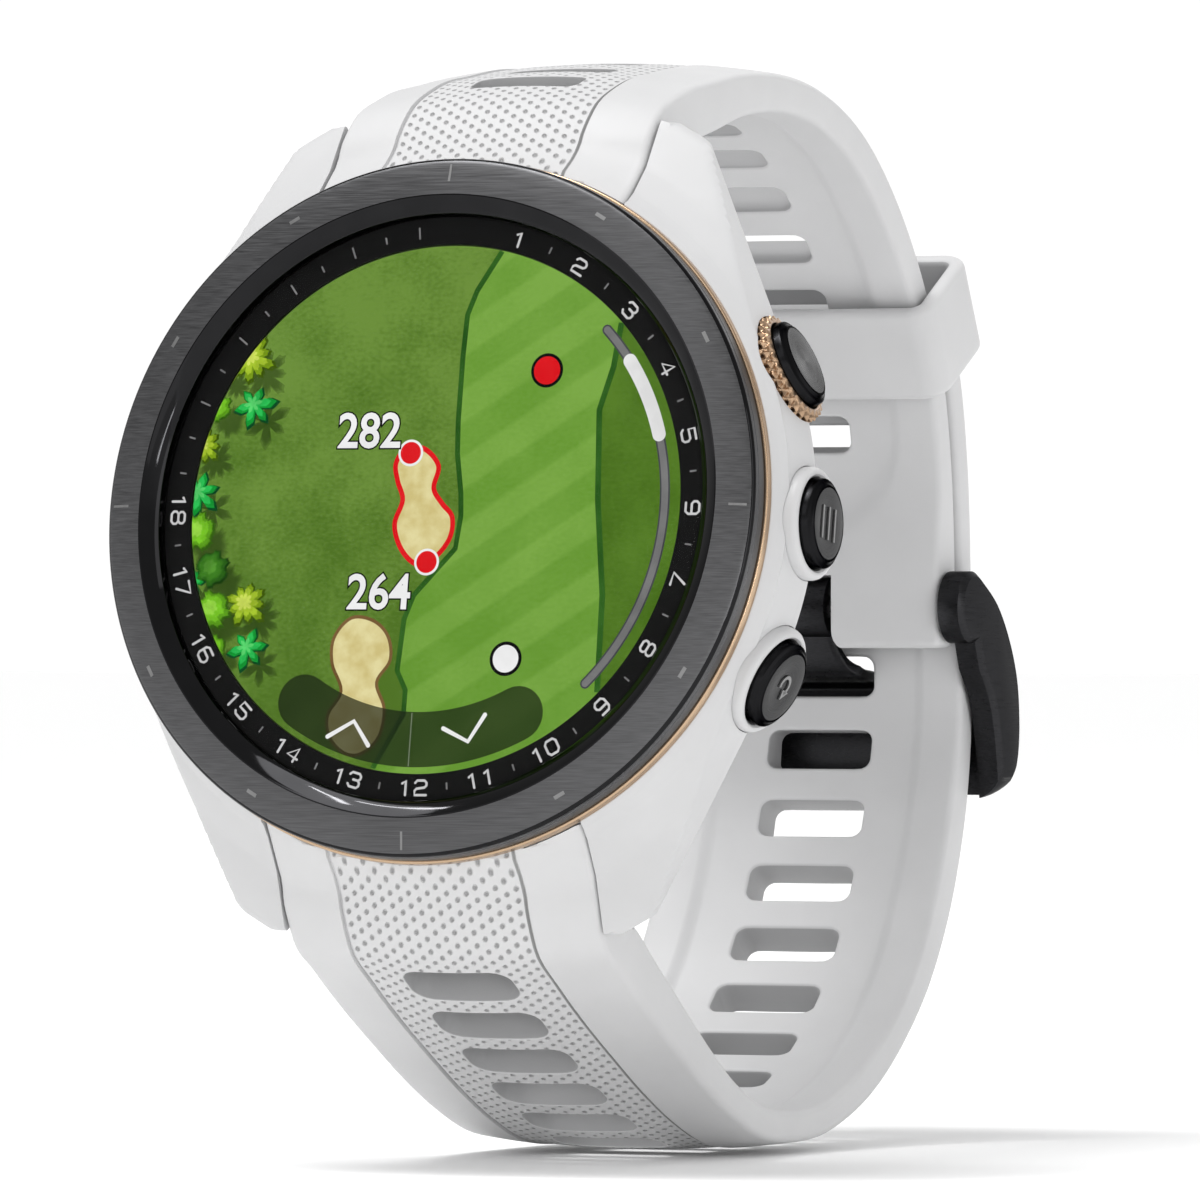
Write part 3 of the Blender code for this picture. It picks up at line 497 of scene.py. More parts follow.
def bake(obj):
    """Applies every modifier of a piece."""
    bpy.context.view_layer.update()
    graph = bpy.context.evaluated_depsgraph_get()
    mesh = bpy.data.meshes.new_from_object(obj.evaluated_get(graph), depsgraph=graph)
    obj.modifiers.clear()
    old = obj.data
    obj.data = mesh
    bpy.data.meshes.remove(old)
    mesh.shade_smooth()
    mesh.set_sharp_from_angle(angle=math.radians(32))


def soften(obj, width, segments, angle):
    """Rounds a piece's edges."""
    bevel = obj.modifiers.new("soften", "BEVEL")
    bevel.width = width * MM
    bevel.segments = segments
    bevel.limit_method = "ANGLE"
    bevel.angle_limit = math.radians(angle)
    bake(obj)


# Head


def build_bezel(finish):
    crest = [(17.98, -0.03), (18.04, 0.0), (18.12, -0.01)]
    slope = [(18.6, -0.1), (19.3, -0.26), (19.95, -0.405), (20.12, -0.47)]
    side = [(20.24, -0.56), (20.3, -0.7), (20.3, -1.02), (20.24, -1.06), (20.24, -1.12), (20.3, -1.16)]
    foot = [(20.3, -1.86), (20.22, -1.95)]
    inner = [(17.05, -1.95), (17.05, -0.62), (17.09, -0.55), (17.5, -0.31), (17.9, -0.06)]
    profile = crest + slope + side + foot + inner
    polished = range(len(crest + slope + side + foot), len(profile))
    edge = {0, 1, len(crest + slope) - 1, len(crest + slope)}
    bm = turned(profile, paint=lambda row: 1 if row in polished or row in edge else 0)
    piece("bezel_body", bm, [finish["bezel"], finish["chamfer"]], replaces=["bezel"])
    marks = []
    for hour in range(12):
        turn = Matrix.Rotation(-math.radians(30 * hour), 4, "Z")
        half_width, half_length = (0.07, 0.68) if hour % 3 == 0 else (0.34, 0.11)
        reach = 19.25 if hour % 3 == 0 else 19.3
        tilt = Matrix.Rotation(-math.atan2(0.42, 2.1), 4, "X")
        height = -(reach - 18.0) * 0.2 + 0.012
        mark = box_mesh((-half_width, -half_length, -0.05), (half_width, half_length, 0.0))
        marks.append(moved(mark, turn @ Matrix.Translation((0, reach, height)) @ tilt))
    piece("bezel_marks", joined(marks), finish["mark"])


def build_trim(finish):
    crest = [
        (20.34 + 0.12 * math.sin(math.radians(a)), -2.14 + 0.12 * math.cos(math.radians(a)))
        for a in range(0, 91, 15)
    ]
    profile = [(19.45, -2.02)] + crest + [(20.46, -2.62), (20.4, -2.68), (19.45, -2.68)]
    piece("rose_gold_ring", turned(profile), finish["rose"], replaces=["trim_ring"])


def soft_least(values, weight, width):
    """The least of some values, eased where two of them are close."""
    least = min(values)
    return least - weight * math.log(sum(math.exp((least - value) / width) for value in values))


def case_reach(angle, side, bevel, tip, limit):
    """How far the case reaches at an angle and depth: round, with lugs whose corners are eased."""
    folded = math.acos(min(abs(math.cos(angle)), 1.0))
    reach = side
    if folded > LUG_SIDE_ANGLE:
        reaches = (
            side / math.cos(folded - LUG_SIDE_ANGLE),
            bevel / math.cos(folded - LUG_BEVEL_ANGLE),
            tip / math.sin(folded),
        )
        reach = soft_least(reaches, 0.042, 0.14)
    return soft_least((reach, limit), 0.05, 0.1)


POCKET_REACH, POCKET_HALF = 20.36, 10.06
LUG_SIDE_ANGLE, LUG_BEVEL_ANGLE = math.radians(24.8), math.radians(60.4)
LUG_BEVEL, LUG_TIP, CASE_SIDE = 26.1, 23.7, 21.35
CASE_LEVELS = [  # (depth, side, lug bevel, lug tip, limit)
    (2.55, CASE_SIDE, LUG_BEVEL, LUG_TIP, 20.5),
    (2.62, CASE_SIDE, LUG_BEVEL, LUG_TIP, 20.6),
    (2.95, CASE_SIDE, LUG_BEVEL, LUG_TIP, 20.75),
    (3.7, CASE_SIDE - 0.25, LUG_BEVEL, LUG_TIP, 21.3),
    (5.2, CASE_SIDE - 0.1, LUG_BEVEL, LUG_TIP, 22.9),
    (6.85, CASE_SIDE, LUG_BEVEL, LUG_TIP, 25.8),
    (7.15, CASE_SIDE - 0.03, LUG_BEVEL - 0.1, LUG_TIP - 0.05, 26.2),
    (7.7, CASE_SIDE - 0.35, LUG_BEVEL - 0.5, LUG_TIP - 0.45, 25.75),
    (9.0, CASE_SIDE - 1.3, LUG_BEVEL - 1.9, LUG_TIP - 1.2, 23.2),
    (10.0, 19.9, LUG_BEVEL - 2.0, LUG_TIP - 1.4, 20.1),
    (10.2, 19.8, LUG_BEVEL - 2.0, LUG_TIP - 1.4, 19.8),
]


def button_matrix(angle):
    turn = Matrix.Rotation(math.radians(angle), 4, "Z") @ Matrix.Rotation(math.pi / 2, 4, "Y")
    return Matrix.Translation((0, 0, -BUTTON_DEPTH)) @ turn


def build_case(finish):
    rows = []
    for lower, upper in zip(CASE_LEVELS, CASE_LEVELS[1:]):
        parts = 1 if upper[0] - lower[0] < 0.35 else 8
        for step in range(parts):
            t = step / parts
            level = [a + (b - a) * t for a, b in zip(lower, upper)]
            rows.append(case_row(*level))
    rows.append(case_row(*CASE_LEVELS[-1]))
    body = piece("case_shell", skin(rows, capped=True), finish["case"],
                 replaces=["case_body"])
    cavity = [
        (0, -11.5), (15.6, -11.5), (15.6, -8.6), (18.6, -8.6), (18.6, -2.95), (19.4, -2.95), (19.4, 0),
        (0, 0),
    ]
    tools = [turned(cavity, 96)]
    for turn in (0, 180):
        outline = arc((0, 0), POCKET_REACH, 60.4, 119.6, 24) + [(-POCKET_HALF, 30), (POCKET_HALF, 30)]
        tools.append(moved(extruded(outline, -15, 0), Matrix.Rotation(math.radians(turn), 4, "Z")))
    for angle in BUTTONS.values():
        hole = turned([(0, 18.0), (1.5, 18.0), (1.5, 19.55), (3.3, 19.55), (3.3, 26.0), (0, 26.0)], 64)
        tools.append(moved(hole, button_matrix(angle)))
    cut(body, tools)
    soften(body, 0.09, 2, 38)


def case_row(depth, side, bevel, tip, limit):
    row = []
    for index in range(CASE_STEPS):
        angle = 2 * math.pi * (index + 0.37) / CASE_STEPS
        reach = case_reach(angle, side, bevel, tip, limit)
        row.append((reach * math.cos(angle), reach * math.sin(angle), -depth))
    return row


# Screen


def flat(points, height):
    """One flat polygon of the picture, with its place as its UV."""
    bm = bmesh.new()
    layer = bm.loops.layers.uv.new("UVMap")
    face = bm.faces.new([bm.verts.new((x, y, height)) for x, y in points])
    for loop in face.loops:
        loop[layer].uv = loop.vert.co.xy
    bm.normal_update()
    bmesh.ops.triangulate(bm, faces=bm.faces)
    return bm


def eased(points, closed=True, steps=6):
    """A smooth curve through points."""
    count = len(points)
    line = []
    for index in range(count if closed else count - 1):
        if closed:
            four = [points[(index + shift) % count] for shift in (-1, 0, 1, 2)]
        else:
            four = [points[min(max(index + shift, 0), count - 1)] for shift in (-1, 0, 1, 2)]
        for step in range(steps):
            line.append(catmull(four, step / steps))
    return line if closed else line + [tuple(points[-1])]


def catmull(four, t):
    weights = (
        (-t + 2 * t**2 - t**3) / 2, (2 - 5 * t**2 + 3 * t**3) / 2,
        (t + 4 * t**2 - 3 * t**3) / 2, (-(t**2) + t**3) / 2,
    )
    return tuple(sum(w * v for w, v in zip(weights, values)) for values in zip(*four))


def ribbon(points, width, height, closed=False):
    """A flat line of a given width along points."""
    count = len(points)
    left, right = [], []
    for index, here in enumerate(points):
        before = points[(index - 1) % count] if closed else points[max(index - 1, 0)]
        after = points[(index + 1) % count] if closed else points[min(index + 1, count - 1)]
        run = Vector((after[0] - before[0], after[1] - before[1])).normalized()
        across = Vector((-run.y, run.x)) * width / 2
        left.append((here[0] + across.x, here[1] + across.y, height))
        right.append((here[0] - across.x, here[1] - across.y, height))
    bm = bmesh.new()
    verts = [(bm.verts.new(a), bm.verts.new(b)) for a, b in zip(left, right)]
    for index in range(count if closed else count - 1):
        (a, b), (c, d) = verts[index], verts[(index + 1) % count]
        bm.faces.new((a, b, d, c))
    return bm


def disc(x, y, radius, height, steps=40):
    return flat(arc((x, y), radius, 0, 360 - 360 / steps, steps), height)


def line_with_caps(points, width, height):
    ends = [disc(*points[0], width / 2, height, 20), disc(*points[-1], width / 2, height, 20)]
    return joined([ribbon(points, width, height)] + ends)


ROUGH_EDGE = [  # the fairway's left edge, from the top
    (3.1, 15.0), (1.7, 12.7), (1.2, 11.3), (1.1, 8.8), (1.1, 5.1), (1.2, 3.2), (1.6, 0.9), (1.7, -0.4),
    (1.5, -2.3), (-0.9, -5.0), (-1.4, -6.4), (-1.6, -9.4), (-1.0, -10.5), (-1.0, -11.9), (-2.7, -15.05),
]
RIGHT_EDGE = [(10.9, 10.75), (10.6, 8.2), (9.9, 5.7), (10.2, 0.5), (10.9, -5.0), (11.0, -10.6)]
FIRST_BUNKER = [
    (-2.1, 3.4), (-0.9, 3.5), (0.1, 2.5), (-0.1, 1.2), (0.5, 0.3), (1.2, -0.5), (1.1, -1.8), (0.1, -3.0),
    (-0.9, -3.2), (-1.9, -2.3), (-2.4, -0.9), (-2.0, 0.5), (-2.4, 1.6), (-2.6, 2.6),
]
SECOND_BUNKER = [
    (-4.7, -6.35), (-3.3, -6.5), (-2.3, -7.4), (-2.05, -8.8), (-2.8, -10.1), (-2.2, -11.6), (-2.4, -13.2),
    (-3.4, -14.2), (-4.5, -14.2), (-5.5, -13.3), (-5.75, -12.0), (-5.0, -10.6), (-5.7, -9.0), (-5.7, -7.5),
]
BUNKER_MARKS, PIN_MARK, BALL_MARK = ((-1.7, 3.25), (-0.2, -3.1)), (6.5, 8.0), (5.2, -8.7)
PILL_INNER, PILL_OUTER, PILL_CAP, PILL_START, PILL_END = 11.8, 15.0, 1.6, 237.0, 297.6
CHEVRONS = [
    [(-5.6, -13.25), (-4.0, -12.35), (-3.0, -13.75)], [(1.65, -12.75), (3.25, -13.5), (4.2, -11.95)],
]
SCROLL_RADIUS = 14.45


def build_screen():
    level = [SCREEN_FLOOR]

    def up():
        level[0] += LAYER
        return level[0]

    rough = grass("turf_rough", srgb(82, 118, 38), srgb(112, 148, 62))
    fairway = grass("turf_fairway", srgb(104, 154, 52), srgb(128, 174, 74), stripes=True)
    far_rough = grass("turf_far", srgb(72, 110, 28), srgb(90, 130, 42))
    edge = lit("turf_edge", srgb(38, 84, 26), srgb(54, 104, 36))
    base = joined([disc(0, 0, SCREEN_RADIUS, SCREEN_FLOOR, 160)])
    screen_piece("screen_rough", base, rough, ["display_module"])
    ends = (ROUGH_EDGE[0], ROUGH_EDGE[-1], RIGHT_EDGE[0], RIGHT_EDGE[-1])
    left_top, left_end, right_top, right_end = (math.degrees(math.atan2(y, x)) for x, y in ends)
    bottom = arc((0, 0), SCREEN_RADIUS, left_end, right_end, 30)
    top = arc((0, 0), SCREEN_RADIUS, right_top, left_top, 20)
    height = up()
    screen_piece("screen_fairway", flat(ROUGH_EDGE + bottom + RIGHT_EDGE[::-1] + top, height), fairway)
    side = arc((0, 0), SCREEN_RADIUS, right_end, right_top, 40)
    screen_piece("screen_far_rough", flat(RIGHT_EDGE + side, height), far_rough)
    height = up()
    edges = [ribbon(ROUGH_EDGE, 0.32, height), ribbon(RIGHT_EDGE, 0.36, height)]
    screen_piece("screen_edges", joined(edges), edge)
    build_bushes(up)
    sand = lit("sand", srgb(214, 198, 132), srgb(234, 224, 166), (0.9, 0.9, 0.9))
    red = lit("marker_red", srgb(222, 22, 30), srgb(232, 34, 40))
    white = lit("marker_white", srgb(238, 238, 238), srgb(250, 250, 250))
    black = lit("marker_black", (0.004, 0.004, 0.004), (0.008, 0.008, 0.008))
    brown = lit("bunker_edge", srgb(112, 84, 48), srgb(128, 98, 60))
    height = up()
    bunkers = [eased(FIRST_BUNKER), eased(SECOND_BUNKER)]
    screen_piece("screen_bunkers", joined([flat(outline, height) for outline in bunkers]), sand)
    height = up()
    screen_piece("screen_red_outline", ribbon(bunkers[0], 0.3, height, closed=True), red)
    screen_piece("screen_brown_outline", ribbon(bunkers[1], 0.2, height, closed=True), brown)
    height = up()
    rims = [disc(*place, 0.78, height) for place in BUNKER_MARKS]
    screen_piece("marker_rims", joined(rims), white)
    pins = [disc(*place, 1.0, height) for place in (PIN_MARK, BALL_MARK)]
    screen_piece("marker_outlines", joined(pins), black)
    height = up()
    dots = [disc(*place, 0.64, height) for place in BUNKER_MARKS] + [disc(*PIN_MARK, 0.82, height)]
    screen_piece("marker_dots", joined(dots), red)
    screen_piece("ball_dot", disc(*BALL_MARK, 0.8, height), white)
    for index, (text, x, y) in enumerate((("282", -4.38, 4.45), ("264", -3.05, -4.95))):
        for name, weight, colour in (("outline_", 0.13, black), ("", 0.045, white)):
            place = Matrix.Translation((x, y, up())) @ Matrix.Diagonal((1.0, 1.06, 1.0, 1.0))
            screen_piece(f"distance_{name}{index + 1}", lettering(text, 2.7, place, weight), colour)
    build_menu(up, white)
    build_scroll(up)


def build_menu(up, white):
    middle = (PILL_INNER + PILL_OUTER) / 2
    near, far = arc((0, 0), middle, PILL_START, PILL_END, 2)
    shape = arc((0, 0), PILL_OUTER, PILL_START, PILL_END, 40)
    shape += arc(far, PILL_CAP, PILL_END, PILL_END + 180, 14)[1:-1]
    shape += arc((0, 0), PILL_INNER, PILL_END, PILL_START, 40)
    shape += arc(near, PILL_CAP, PILL_START + 180, PILL_START + 360, 14)[1:-1]
    menu = lit("menu_shade", (0.012, 0.02, 0.008), (0.016, 0.026, 0.01), alpha=0.86)
    screen_piece("menu_pill", flat(shape, up()), menu)
    height = up()
    lines = [line_with_caps(points, 0.26, height) for points in CHEVRONS]
    screen_piece("menu_chevrons", joined(lines), white)
    divider = lit("menu_divider", srgb(120, 130, 112), srgb(132, 142, 122))
    screen_piece("menu_divider_line", ribbon([(-0.38, -11.85), (-0.38, -14.95)], 0.06, height), divider)


def build_scroll(up):
    track = lit("scroll_track", srgb(112, 112, 112), srgb(128, 128, 128))
    outline = lit("scroll_edge", srgb(66, 66, 70), srgb(78, 78, 82))
    thumb = lit("scroll_thumb", srgb(226, 226, 226), srgb(246, 246, 246))
    path = arc((0, 0), SCROLL_RADIUS, 45.5, -44.5, 60)
    short = arc((0, 0), SCROLL_RADIUS, 36.0, 17.0, 20)
    screen_piece("scroll_border", line_with_caps(path, 0.62, up()), outline)
    screen_piece("scroll_line", line_with_caps(path, 0.42, up()), track)
    screen_piece("scroll_handle", line_with_caps(short, 0.82, up()), thumb)


BUSHES = [  # kind, x, y, radius
    ("leafy", -13.9, 8.1, 0.75), ("leafy", -12.2, 8.8, 1.4), ("shrub", -14.2, 6.0, 0.8),
    ("palm", -11.8, 6.0, 1.35), ("leafy", -14.9, 3.7, 1.1), ("palm", -14.9, 0.9, 1.3),
    ("shrub", -14.9, -1.3, 1.05), ("palm", -15.0, -4.3, 0.8), ("dark", -13.8, -3.5, 1.0),
    ("shrub", -13.6, -5.9, 1.08), ("leafy", -11.4, -5.6, 1.3), ("shrub", -13.3, -8.1, 0.7),
    ("palm", -11.1, -8.2, 1.25),
]
BUSH_COLOURS = {  # from the outline inwards
    "shrub": [(52, 96, 16), (92, 158, 28), (120, 196, 40), (150, 214, 70)],
    "dark": [(24, 62, 14), (44, 102, 24), (60, 124, 32), (82, 146, 48)],
    "leafy": [(62, 88, 12), (122, 156, 26), (164, 194, 48), (204, 222, 92)],
    "palm": [(10, 74, 34), (20, 150, 52), (44, 190, 84), (90, 212, 110)],
}
BUSH_SHARES = (1.06, 0.94, 0.74, 0.42)
BUSH_LEAVES = {  # number of leaves, share of the radius between them, fullness, width
    "shrub": (15, 0.9, 0.6, 1.0), "dark": (15, 0.9, 0.6, 1.0), "leafy": (9, 0.55, 0.25, 1.0),
    "palm": (6, 0.3, 0.0, 0.95),
}


def plant(kind, x, y, radius, share=1.0, lift=0.0):
    """The outline of one plant seen from above: pointed leaves, or a round crown with small bumps."""
    leaves, waist, fullness, width = BUSH_LEAVES[kind]
    flank, shoulder = waist + (1 - waist) * 0.45 + 0.1, 0.86 + 0.1 * fullness
    leaf = ((-1.0, waist), (-0.62, flank), (-0.25, shoulder), (0.0, 1.0), (0.25, shoulder), (0.62, flank))
    points = []
    for index in range(leaves):
        angle = x * 3.0 + 2 * math.pi * index / leaves
        reach = radius * share * (1 + 0.13 * math.sin(index * 2.7 + x * 5))
        for part, length in leaf:
            turn = angle + part * math.pi / leaves * (width if abs(part) < 1 else 1.0)
            out = reach * length
            points.append((x - lift + out * math.cos(turn), y + lift + out * math.sin(turn)))
    return inside_screen(points)


def inside_screen(points):
    """The same points, with those past the screen's edge pulled back to it."""
    shares = [min(1.0, (SCREEN_RADIUS - 0.02) / math.hypot(*point)) for point in points]
    return [(x * share, y * share) for (x, y), share in zip(points, shares)]


def build_bushes(up):
    shade_height = up()
    shadow = lit("bush_shadow", (0.008, 0.022, 0.003), (0.012, 0.03, 0.005), alpha=0.3)
    for index, share in enumerate((1.12, 0.98, 0.84)):
        height = shade_height + 0.002 * index
        blobs = [flat(plant(kind, x + 0.8, y - 0.85, r, share), height) for kind, x, y, r in BUSHES]
        screen_piece(f"bush_shadows_{index + 1}", joined(blobs), shadow)
    heights = [up(), up(), up(), up()]
    for kind, colours in BUSH_COLOURS.items():
        for index, (share, colour) in enumerate(zip(BUSH_SHARES, colours)):
            leaves = [
                flat(plant(kind, x, y, r, share, 0.05 * index * r), heights[index])
                for name, x, y, r in BUSHES if name == kind
            ]
            light = srgb(*colour)
            tone = lit(f"{kind}_{index + 1}", shade(light, 0.85), shade(light, 1.15), (1.6, 1.6, 1.6))
            screen_piece(f"{kind}_leaves_{index + 1}", joined(leaves), tone)


def screen_piece(name, bm, material, replaces=()):
    """A flat piece of the picture: like piece(), but its faces all look out of the screen."""
    bmesh.ops.remove_doubles(bm, verts=bm.verts, dist=1e-5)
    for face in bm.faces:
        if face.normal.z < 0:
            face.normal_flip()
    bmesh.ops.transform(bm, matrix=HEAD, verts=bm.verts)
    mesh = new_mesh(name, bm)
    mesh.materials.append(material)
    obj = new_object(name, mesh)
    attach(obj, "watch")
    if replaces:
        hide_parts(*replaces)


def lettering(text, size, matrix, weight):
    """Figures as a flat mesh, centred on their place."""
    curve = bpy.data.curves.new("figures", "FONT")
    curve.body = text
    curve.size = size
    curve.offset = weight
    curve.align_x = "CENTER"
    curve.align_y = "CENTER"
    curve.resolution_u = 4
    obj = new_object("figures", curve)
    bpy.context.view_layer.update()
    mesh = bpy.data.meshes.new_from_object(obj.evaluated_get(bpy.context.evaluated_depsgraph_get()))
    bm = bmesh.new()
    bm.from_mesh(mesh)
    bpy.data.objects.remove(obj)
    bpy.data.curves.remove(curve)
    bpy.data.meshes.remove(mesh)
    return moved(bm, matrix)


FIGURES = {  # the strokes of each figure, in a unit square
    "0": [[(0.2, 0), (0.8, 0), (1, 0.2), (1, 0.8), (0.8, 1), (0.2, 1), (0, 0.8), (0, 0.2), (0.2, 0)]],
    "1": [[(0.25, 0.8), (0.55, 1), (0.55, 0)]],
    "2": [[(0.02, 0.84), (0.18, 1), (0.82, 1), (1, 0.84), (1, 0.66), (0.84, 0.52), (0.16, 0.44), (0, 0.3),
           (0, 0), (1, 0)]],
    "3": [[(0.02, 0.84), (0.18, 1), (0.82, 1), (1, 0.84), (1, 0.66), (0.84, 0.52), (0.4, 0.52)],
          [(0.84, 0.52), (1, 0.36), (1, 0.16), (0.82, 0), (0.18, 0), (0.02, 0.16)]],
    "4": [[(0.75, 0), (0.75, 1), (0, 0.28), (1, 0.28)]],
    "5": [[(0.95, 1), (0.06, 1), (0.04, 0.56), (0.82, 0.58), (1, 0.42), (1, 0.16), (0.82, 0), (0.18, 0),
           (0, 0.14)]],
    "6": [[(0.88, 1), (0.2, 1), (0, 0.8), (0, 0.2), (0.2, 0), (0.8, 0), (1, 0.18), (1, 0.4), (0.82, 0.56),
           (0.02, 0.56)]],
    "7": [[(0, 1), (1, 1), (0.35, 0)]],
    "8": [[(0.2, 0.52), (0.8, 0.52), (1, 0.36), (1, 0.16), (0.8, 0), (0.2, 0), (0, 0.16), (0, 0.36),
           (0.2, 0.52), (0.04, 0.68), (0.04, 0.86), (0.22, 1), (0.78, 1), (0.96, 0.86), (0.96, 0.68),
           (0.8, 0.52)]],
    "9": [[(0.12, 0), (0.8, 0), (1, 0.2), (1, 0.8), (0.8, 1), (0.2, 1), (0, 0.82), (0, 0.6), (0.18, 0.44),
           (0.98, 0.44)]],
}
FIGURE_WIDE, FIGURE_HIGH, FIGURE_STEP, FIGURE_LINE = 0.72, 0.84, 0.98, 0.145


def stroked(text, matrix):
    """Wide figures drawn with one line width, centred on their place."""
    parts = []
    for index, figure in enumerate(text):
        left = (index - (len(text) - 1) / 2) * FIGURE_STEP - FIGURE_WIDE / 2
        for stroke in FIGURES[figure]:
            points = [(left + x * FIGURE_WIDE, (y - 0.5) * FIGURE_HIGH) for x, y in stroke]
            parts.append(line_with_caps(points, FIGURE_LINE, 0.0))
    return moved(joined(parts), matrix)


def build_ring(finish):
    top, inner = RING_TOP, RING_INNER - 0.06
    profile = [(inner, top - 0.18), (RING_OUTER, top - 0.18), (RING_OUTER, top), (inner, top)]
    piece("figure_ring", turned(profile), finish["ink"], replaces=["hole_ring"])
    figures, ticks = [], []
    for hole in range(1, 19):
        angle = -math.radians(15 * hole)
        upright = 0.0 if hole < 6 else math.pi
        place = (
            Matrix.Rotation(angle, 4, "Z") @ Matrix.Translation((0, FIGURE_RADIUS, top + 0.01))
            @ Matrix.Rotation(upright, 4, "Z")
        )
        figures.append(stroked(str(hole), place))
    tick_angles = [15 * hole + 7.5 for hole in range(1, 18)]
    tick_angles += [277.5 + 7.5 * index for index in range(11)]
    for index, angle in enumerate(tick_angles):
        long = 0.34 if index > 17 and (index - 17) % 2 == 0 else 0.2
        mark = box_mesh((-0.05, 16.2 - long, top), (0.05, 16.2 + long, top + 0.01))
        ticks.append(moved(mark, Matrix.Rotation(-math.radians(angle), 4, "Z")))
    screen_piece("ring_figures", joined(figures), finish["figure"])
    piece("ring_ticks", joined(ticks), finish["tick"])


def build_glass():
    """The lens: clear, with only a faint gloss, so that it dims nothing below it."""
    nodes = Nodes("lens_clear")
    nodes.set(colour=(0.01, 0.01, 0.01), roughness=0.03, alpha=0.04)
    profile = [
        (0, -0.45), (16.6, -0.45), (16.8, -0.48), (16.93, -0.6), (16.95, -0.75), (16.95, -1.2), (0, -1.2),
    ]
    piece("lens", turned(profile, looped=False), nodes.material, replaces=["glass_lens"])


# Buttons


CAP_TOP, COLLAR_FOOT, COLLAR_SEAT, COLLAR_BORE, COLLAR_INNER = 22.34, 19.6, 20.6, 1.06, 2.68
KNURL_TEETH, KNURL_COLUMNS, KNURL_START, KNURL_RADIUS = 30, 240, 20.3, 3.05


def build_buttons(finish):
    profile = [
        (0, 17.4), (1.0, 17.4), (1.0, 21.2), (2.5, 21.2), (2.6, 21.3), (2.6, 22.02), (2.56, 22.14),
        (2.46, 22.21), (2.38, 22.22), (2.32, 22.26), (2.2, 22.38), (2.05, 22.4), (1.2, 22.36),
        (0.5, CAP_TOP), (0, CAP_TOP),
    ]
    edge_rows = range(3, 11)
    for name, angle in BUTTONS.items():
        place = HEAD @ button_matrix(angle)
        cap = turned(profile, 96, looped=False, paint=lambda row: 1 if row in edge_rows else 0)
        piece(f"{name}_cap_turned", cap, [finish["cap"], finish["cap_edge"]], f"{name}_cap", place,
              [f"{name}_button"])
        build_collar(name, place, finish)
        if name != "action":
            build_icon(name, place, finish)


def build_collar(name, place, finish):
    if name == "action":
        build_knurl(place, finish)
        return
    profile = [
        (COLLAR_BORE, COLLAR_FOOT), (3.25, COLLAR_FOOT), (3.25, 21.35), (3.2, 21.55), (3.08, 21.7),
        (2.95, 21.75), (2.82, 21.73), (2.7, 21.62), (COLLAR_INNER, 21.4), (COLLAR_INNER, COLLAR_SEAT),
        (COLLAR_BORE, COLLAR_SEAT),
    ]
    piece(f"{name}_collar_eased", turned(profile, 96), finish["collar"], "watch", place,
          [f"{name}_collar"])


def knurl_row(z):
    """One row round the knurled collar, whose height follows two crossed sets of teeth."""
    row = []
    for column in range(KNURL_COLUMNS):
        turn = column / KNURL_COLUMNS
        rise = 0.0
        if z >= KNURL_START:
            waves = ((KNURL_TEETH * turn + slope * z) % 1.0 for slope in (1.25, -1.25))
            rise = 0.6 * min(abs(wave - 0.5) for wave in waves)
        reach = KNURL_RADIUS + rise - max(0.0, z - 21.3) * 0.4
        angle = 2 * math.pi * turn
        row.append((reach * math.cos(angle), reach * math.sin(angle), z))
    return row


def build_knurl(place, finish):
    """The action button's collar: diamonds raised on its side and its rim."""
    levels = [COLLAR_FOOT, KNURL_START - 0.02] + [KNURL_START + 0.07 * index for index in range(20)]
    rows = [knurl_row(z) for z in levels]
    top = ((2.86, 21.72), (2.74, 21.7), (COLLAR_INNER, 21.6), (COLLAR_INNER, COLLAR_SEAT),
           (COLLAR_BORE, COLLAR_SEAT), (COLLAR_BORE, COLLAR_FOOT))
    rows += [circle(radius, z, KNURL_COLUMNS) for radius, z in top]
    piece("action_collar_knurled", skin(rows, looped=True), finish["knurl"], "watch", place,
          ["action_collar"], angle=50)


def build_icon(name, place, finish):
    """Raised marks on a cap: three bars for the menu, a turning arrow for going back."""
    low, high = CAP_TOP - 0.04, CAP_TOP + 0.09
    if name == "menu":
        pitch, half_width, half_height = 0.85, 0.1, 0.95
        corners = ((-half_width, -half_height, low), (half_width, half_height, high))
        parts = [moved(box_mesh(*corners), Matrix.Translation((pitch * row, 0, 0))) for row in (-1, 0, 1)]
    else:
        centre, radius = (0.0, 0.12), 0.62
        hook = arc(centre, radius, -60, 200, 22) + arc(centre, radius * 0.66, 200, -60, 22)
        head = [(0.78, -0.2), (0.1, -0.75), (0.02, -0.12)]
        parts = [extruded(outline, low, high) for outline in (hook, head)]
    piece(f"{name}_icon", joined(parts), finish["mark"], f"{name}_cap", place)


# Strap


def face_to_world(reach, depth):
    """(y, z) measured from the face's middle, for a reach towards 12 o'clock and a depth."""
    lean_sin, lean_cos = math.sin(FACE_LEAN), math.cos(FACE_LEAN)
    return (lean_sin * reach + lean_cos * depth, lean_cos * reach - lean_sin * depth)


def strap_stations(line, side, thicknesses, lug_inner):
    """(outer y, z, inner y, z) stations: the lug end, then the line offset inwards by its thickness."""
    stations = []
    for (outer_reach, outer_depth), (inner_reach, inner_depth) in zip(LUG_OUTER, lug_inner):
        outer = face_to_world(side * outer_reach, outer_depth)
        stations.append(outer + face_to_world(side * inner_reach, inner_depth))
    full = [stations[-1][:2]] + list(line)
    for index, thickness in enumerate(thicknesses):
        here, before, after = full[index + 1], full[index], full[min(index + 2, len(full) - 1)]
        run = Vector((after[0] - before[0], after[1] - before[1])).normalized()
        outward = Vector((-run.y, run.x)) * side
        stations.append((*here, here[0] - outward.x * thickness, here[1] - outward.y * thickness))
    return stations


